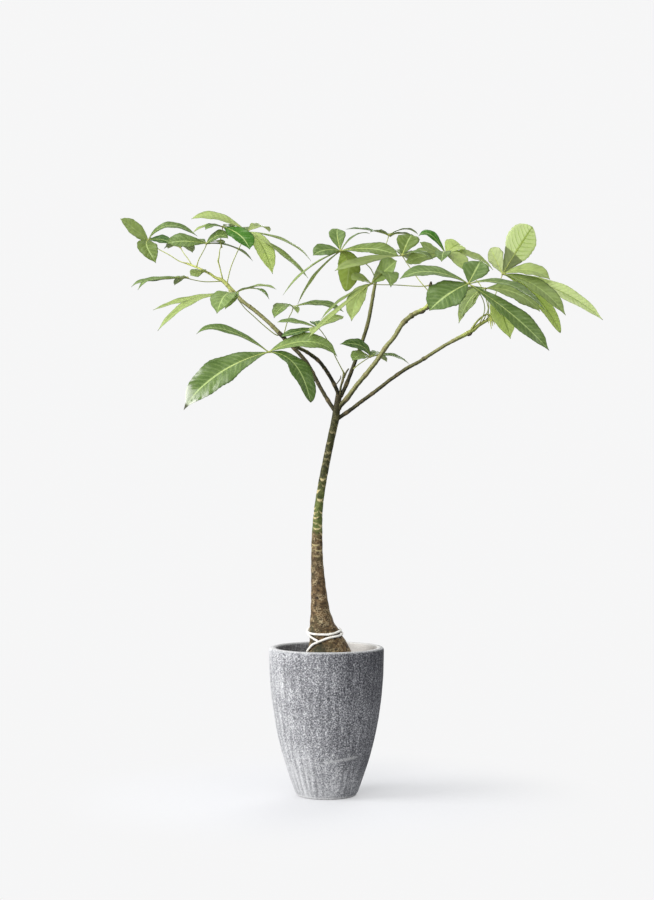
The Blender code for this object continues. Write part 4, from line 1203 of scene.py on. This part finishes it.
def midrib_frame(row, t):
    """Places along a leaflet's midrib from its hub, the way across it and out of its upper side."""
    x, y, _ = tip = row["tip"]
    reach = row.get("reach", REACH)
    beside = np.cross(unit(np.array([x, y, 0.0])), (0, 0, 1))

    def at(t):
        t = t[:, None]
        end = np.clip((t - 0.75) / 0.25, 0, 2)
        return (2 * t * (1 - t) * np.array([x * reach, y * reach, row["bend"]]) + t * t * tip
                - row.get("hook", 0) * end * end * np.array([0, 0, 1.0])
                + row.get("sway", 0) * np.sin(math.pi * t) * beside)

    ahead = unit(at(t + 0.001) - at(t - 0.001))
    side = unit(np.cross(ahead, np.cross(beside, ahead) + (row.get("side", 0), row["lean"], 0)))
    return at(t), side, np.cross(side, ahead)


def lay_leaflet(hub, row, chance):
    """A copy of the flat leaflet, bent to its place."""
    t = np.clip(ALONG, 0.0, 0.9995)
    place, side, up = midrib_frame(row, t)
    length = lengths(midrib_frame(row, np.linspace(0, 1, 24))[0])[-1]
    least = FOOT_WIDTH + (TIP_WIDTH - FOOT_WIDTH) * t
    half = np.maximum(row["width"] * outline(t, row), least) / 2
    size = np.abs(ACROSS)
    veins = max(round(length / VEIN_SPACING), 5)
    vein = (t * length - 0.55 * size * half * (1 + 0.5 * size)) * veins / length
    phase = chance.uniform(0, 6.3)
    waves = chance.uniform(2.2, 3.6)
    sway = np.sin(waves * 2 * math.pi * t + phase + 1.9 * (ACROSS > 0)) * size ** 2.5
    body = np.sin(math.pi * t) ** 0.7
    lift = FOLD * size * (1 - 0.25 * size) + row.get("wave", WAVE) * sway * body
    quilt = QUILT * np.abs(np.sin(math.pi * vein)) * np.sin(math.pi * np.clip(size, 0, 1)) ** 0.7
    edge = 1 + 0.02 * np.sin(veins * 2 * math.pi * t + phase) * size
    copy = copy_of(flat_blade)
    move_points(copy, CM * (hub + place + side * (ACROSS * half * edge)[:, None]
                            + up * (lift * half + quilt * body * body)[:, None]))
    pale, yellow, vivid = TONES[row["tone"]]
    pale = max(pale + chance.uniform(-0.06, 0.06), 0) * (1 - DUSK * (t < row.get("dusk", 0)))
    write_layer(copy, "blade", ACROSS, t, vein)
    write_layer(copy, "tone", pale, yellow, vivid)
    # Painted sheen: a pale coat towards the tip, on the leaflets that the table gives it to
    film = row.get("film", 0) * np.clip((t - 0.45) / 0.4, 0, 1)
    write_layer(copy, "surface", film, row.get("gloss", 0), t)
    return copy


print("leaflet tools ready")

# %% [markdown]
# ### Stalks, joints and midribs
# Each stalk has a pulvinus at both ends, a swollen joint with which the plant turns its leaves. The
# midrib runs on from the hub to the tip and stands out most on the underside. Both are
# rolled like the branches, and a midrib lies a little below the blade, so that it shows as a
# ridge underneath and as a fine raised line above.

# %% Roll a leaf's stalk and midribs
PETIOLE = (0.115, 0.085)
PULVINUS = 0.75         # how much thicker a stalk is at its joints
HUB_RADIUS = 0.3
MIDRIB = (0.105, 0.015)     # its radius at the hub and at the tip


def both_ends(far, first, last):
    """1 at both ends of a stalk, falling off within these lengths."""
    return np.exp(-(far / first) ** 2) + np.exp(-((far.max() - far) / last) ** 2)


def roll_stalk(points):
    route = smooth_route(points)
    far = lengths(route)
    radius = PETIOLE[0] + (PETIOLE[1] - PETIOLE[0]) * far / far[-1]
    radius = radius * (1 + PULVINUS * both_ends(far, 0.7, 0.6))
    rows = max(int(far[-1] * 3), 16)
    stalk, along = rolled(np.column_stack([route, radius]), sides=12, rows=rows)
    write_layer(stalk, "growth", 0.9, both_ends(along, 0.9, 0.8), along)
    return stalk


def roll_midrib(hub, row):
    t = np.linspace(0.0, 0.97, 22)
    place, _, up = midrib_frame(row, t)
    radius = (MIDRIB[0] - MIDRIB[1]) * (1 - t) ** 1.1 + MIDRIB[1]
    radius[:2] *= (1.5, 1.3)
    route = hub + place - up * (radius * 0.35)[:, None]
    rib, along = rolled(np.column_stack([route, radius]), sides=7, rows=len(t))
    write_layer(rib, "growth", 1.0, 0.0, along)
    return rib


def shape_hub(hub):
    knob = added(
        bpy.ops.mesh.primitive_uv_sphere_add, segments=14, ring_count=8, radius=HUB_RADIUS * CM)
    own = points_of(knob)
    dents = np.array([1 + 0.25 * noise.noise(Vector(p) * 500 + Vector(hub)) for p in own])
    move_points(knob, own * dents[:, None] * (1, 1, 0.8) + hub * CM)
    write_layer(knob, "growth", 0.9, 0.6)
    return knob


print("stalk tools ready")

# %% [markdown]
# ### Leaf finish
# From above a leaflet is deep green with a soft shine and light veins; from below it is paler and
# dull. Light also passes through it, which makes a leaf against the light glow yellow-green, so
# some of the surface is a Translucent shader. The blade's own layer tells the finish where the
# midrib and the side veins are, whatever way the leaflet bends.

# %% Mix the leaf finishes
def leaf_finish(name, above):
    material, shader, place = new_finish(name, Specular_IOR_Level=0.18 if above else 0.08)
    blade = place.layer("blade")
    across, _, vein = blade.parts()
    pale, yellow, vivid = place.layer("tone").parts()
    film, gloss, toward_tip = place.layer("surface").parts()
    across = across.size()
    blotch = place.grain(35, 3, 0.6)
    fine = place.grain(300, 3, 0.6)
    streak = blade.scaled(0.9, 0.0, 0.55).grain(1.0, 3, 0.6)
    vein = vein + blotch * 0.7
    vein_wave = vein.math("PINGPONG", vein, 0.5)
    side_vein = vein_wave.within(0.17, 0.03) * across.within(1.0, 0.5)
    in_light = pale.within(1.0, 1.25)
    cool = pale.tint((0.036, 0.096, 0.02), (0.33, 0.43, 0.17))
    warm = pale.tint((0.058, 0.108, 0.000), (0.56, 0.62, 0.27))
    colour = vivid.tint(yellow.tint(cool, warm), (0.02, 0.12, 0.000))
    if above:
        colour = in_light.tint(colour, (0.64, 0.66, 0.46))
    else:
        bloom_and_light = yellow.within(0.85, 1.0).tint((0.79, 0.84, 0.48), (0.6, 0.76, 0.14))
        bloom_and_light = in_light.tint(bloom_and_light, (0.84, 0.87, 0.66))
        colour = (pale * 0.45 + 0.25).tint(colour, bloom_and_light)
    shadow = (vein_wave.within(0.26, 0.5) * 0.2 + blotch * 0.7 - 0.25).within(0.0, 1.0)
    vein_colour = pale.within(0.5, 0.8).tint((0.42, 0.53, 0.2), (0.16, 0.24, 0.04))
    coats = [
        (shadow * (1 - pale * 0.6), (0.026, 0.06, 0.014)),
        (fine.within(0.55, 0.85) * 0.05, (0.36, 0.46, 0.1)),
        (side_vein * (0.14 + pale * (0.15 if above else 0.4) - vivid * 0.1), vein_colour),
        (across.within(0.085, 0.03) * 0.85, vein_colour),
        # Painted shade: the margin darker
        (across.within(0.84, 1.0) * (0.5 - pale * 0.3), (0.035, 0.065, 0.012))]
    if above:
        # Painted sheen: the pale streaks on the upper side
        coats += [(streak.within(0.5, 0.66) * 0.2, (0.46, 0.58, 0.32)),
                  (streak.within(0.48, 0.34) * 0.35, (0.03, 0.075, 0.012))]
    # Painted sheen: pale streaks towards the tip of the leaflets that carry it
    streak = (streak + toward_tip.within(0.8, 0.95) * 0.16).within(0.44, 0.6)
    spots = across.within(0.3, 0.95) * 0.8 + 0.2 + toward_tip.within(0.8, 0.9) * 0.5
    dry_tip = toward_tip.within(0.94, 0.965) * film + toward_tip.within(0.965, 0.99) * 0.7
    coats += [(film * streak * spots * 0.75, (0.56, 0.58, 0.5)),
              (dry_tip * 0.9, (0.03, 0.03, 0.012))]
    relief = vein_wave * (0.8 if above else -1.2) - side_vein * 0.1 + fine * 0.05 + blotch * 0.6
    wire(shader, Base_Color=colour.coated(*coats), Normal=bump(relief, 0.0007),
         Roughness=(0.36 if above else 0.65) + blotch * 0.1 - gloss * 0.12 + vivid * 0.3)
    glow = place.node("BsdfTranslucent", sockets={"Color": (0.69, 0.82, 0.25, 1.0)})
    show(material, place.node("MixShader", sockets={
        0: pale * 0.28 + 0.125 - vivid * 0.08, 1: Shade(place.tree, shader.outputs[0]), 2: glow}))
    return material


leaf_top = leaf_finish("leaf_upper_side", True)
leaf_under = leaf_finish("leaf_underside", False)
print("leaf finishes mixed")

# %% [markdown]
# ### Growing the leaves
# A leaflet is half a millimetre thick. Extruding every sheet would do, but a Solidify modifier also
# gives the joined blades a back with its own, duller finish. Stalk, hub and midribs are joined to
# them, because a leaf is one thing and falls off as one thing.

# %% Grow every leaf
BLADE_THICK = 0.0005
for number, (name, (points, rows)) in enumerate(leaves.items()):
    chance = random.Random(100 + number)
    hub = points[-1]
    blades = join([lay_leaflet(hub, row, chance) for row in rows])
    blades.data.materials.append(leaf_top)
    blades.data.materials.append(leaf_under)
    modified(blades, "SOLIDIFY", thickness=BLADE_THICK, offset=0.0, material_offset=1,
             use_even_offset=False)
    stems = [roll_stalk(points), shape_hub(hub)] + [roll_midrib(hub, row) for row in rows]
    for stem in stems:
        stem.data.materials.append(young)
    leaf = join([blades] + stems)
    weld(leaf, outward=False)
    into_frame(leaf, name + "_blades", "leaf_pale" if name == "leaf_pale_right" else "leaf", name)
bpy.data.objects.remove(flat_blade, do_unlink=True)

# %% [markdown]
# ## Done
# The last step brings the scene up to date.

# %% Finish
bpy.context.view_layer.update()
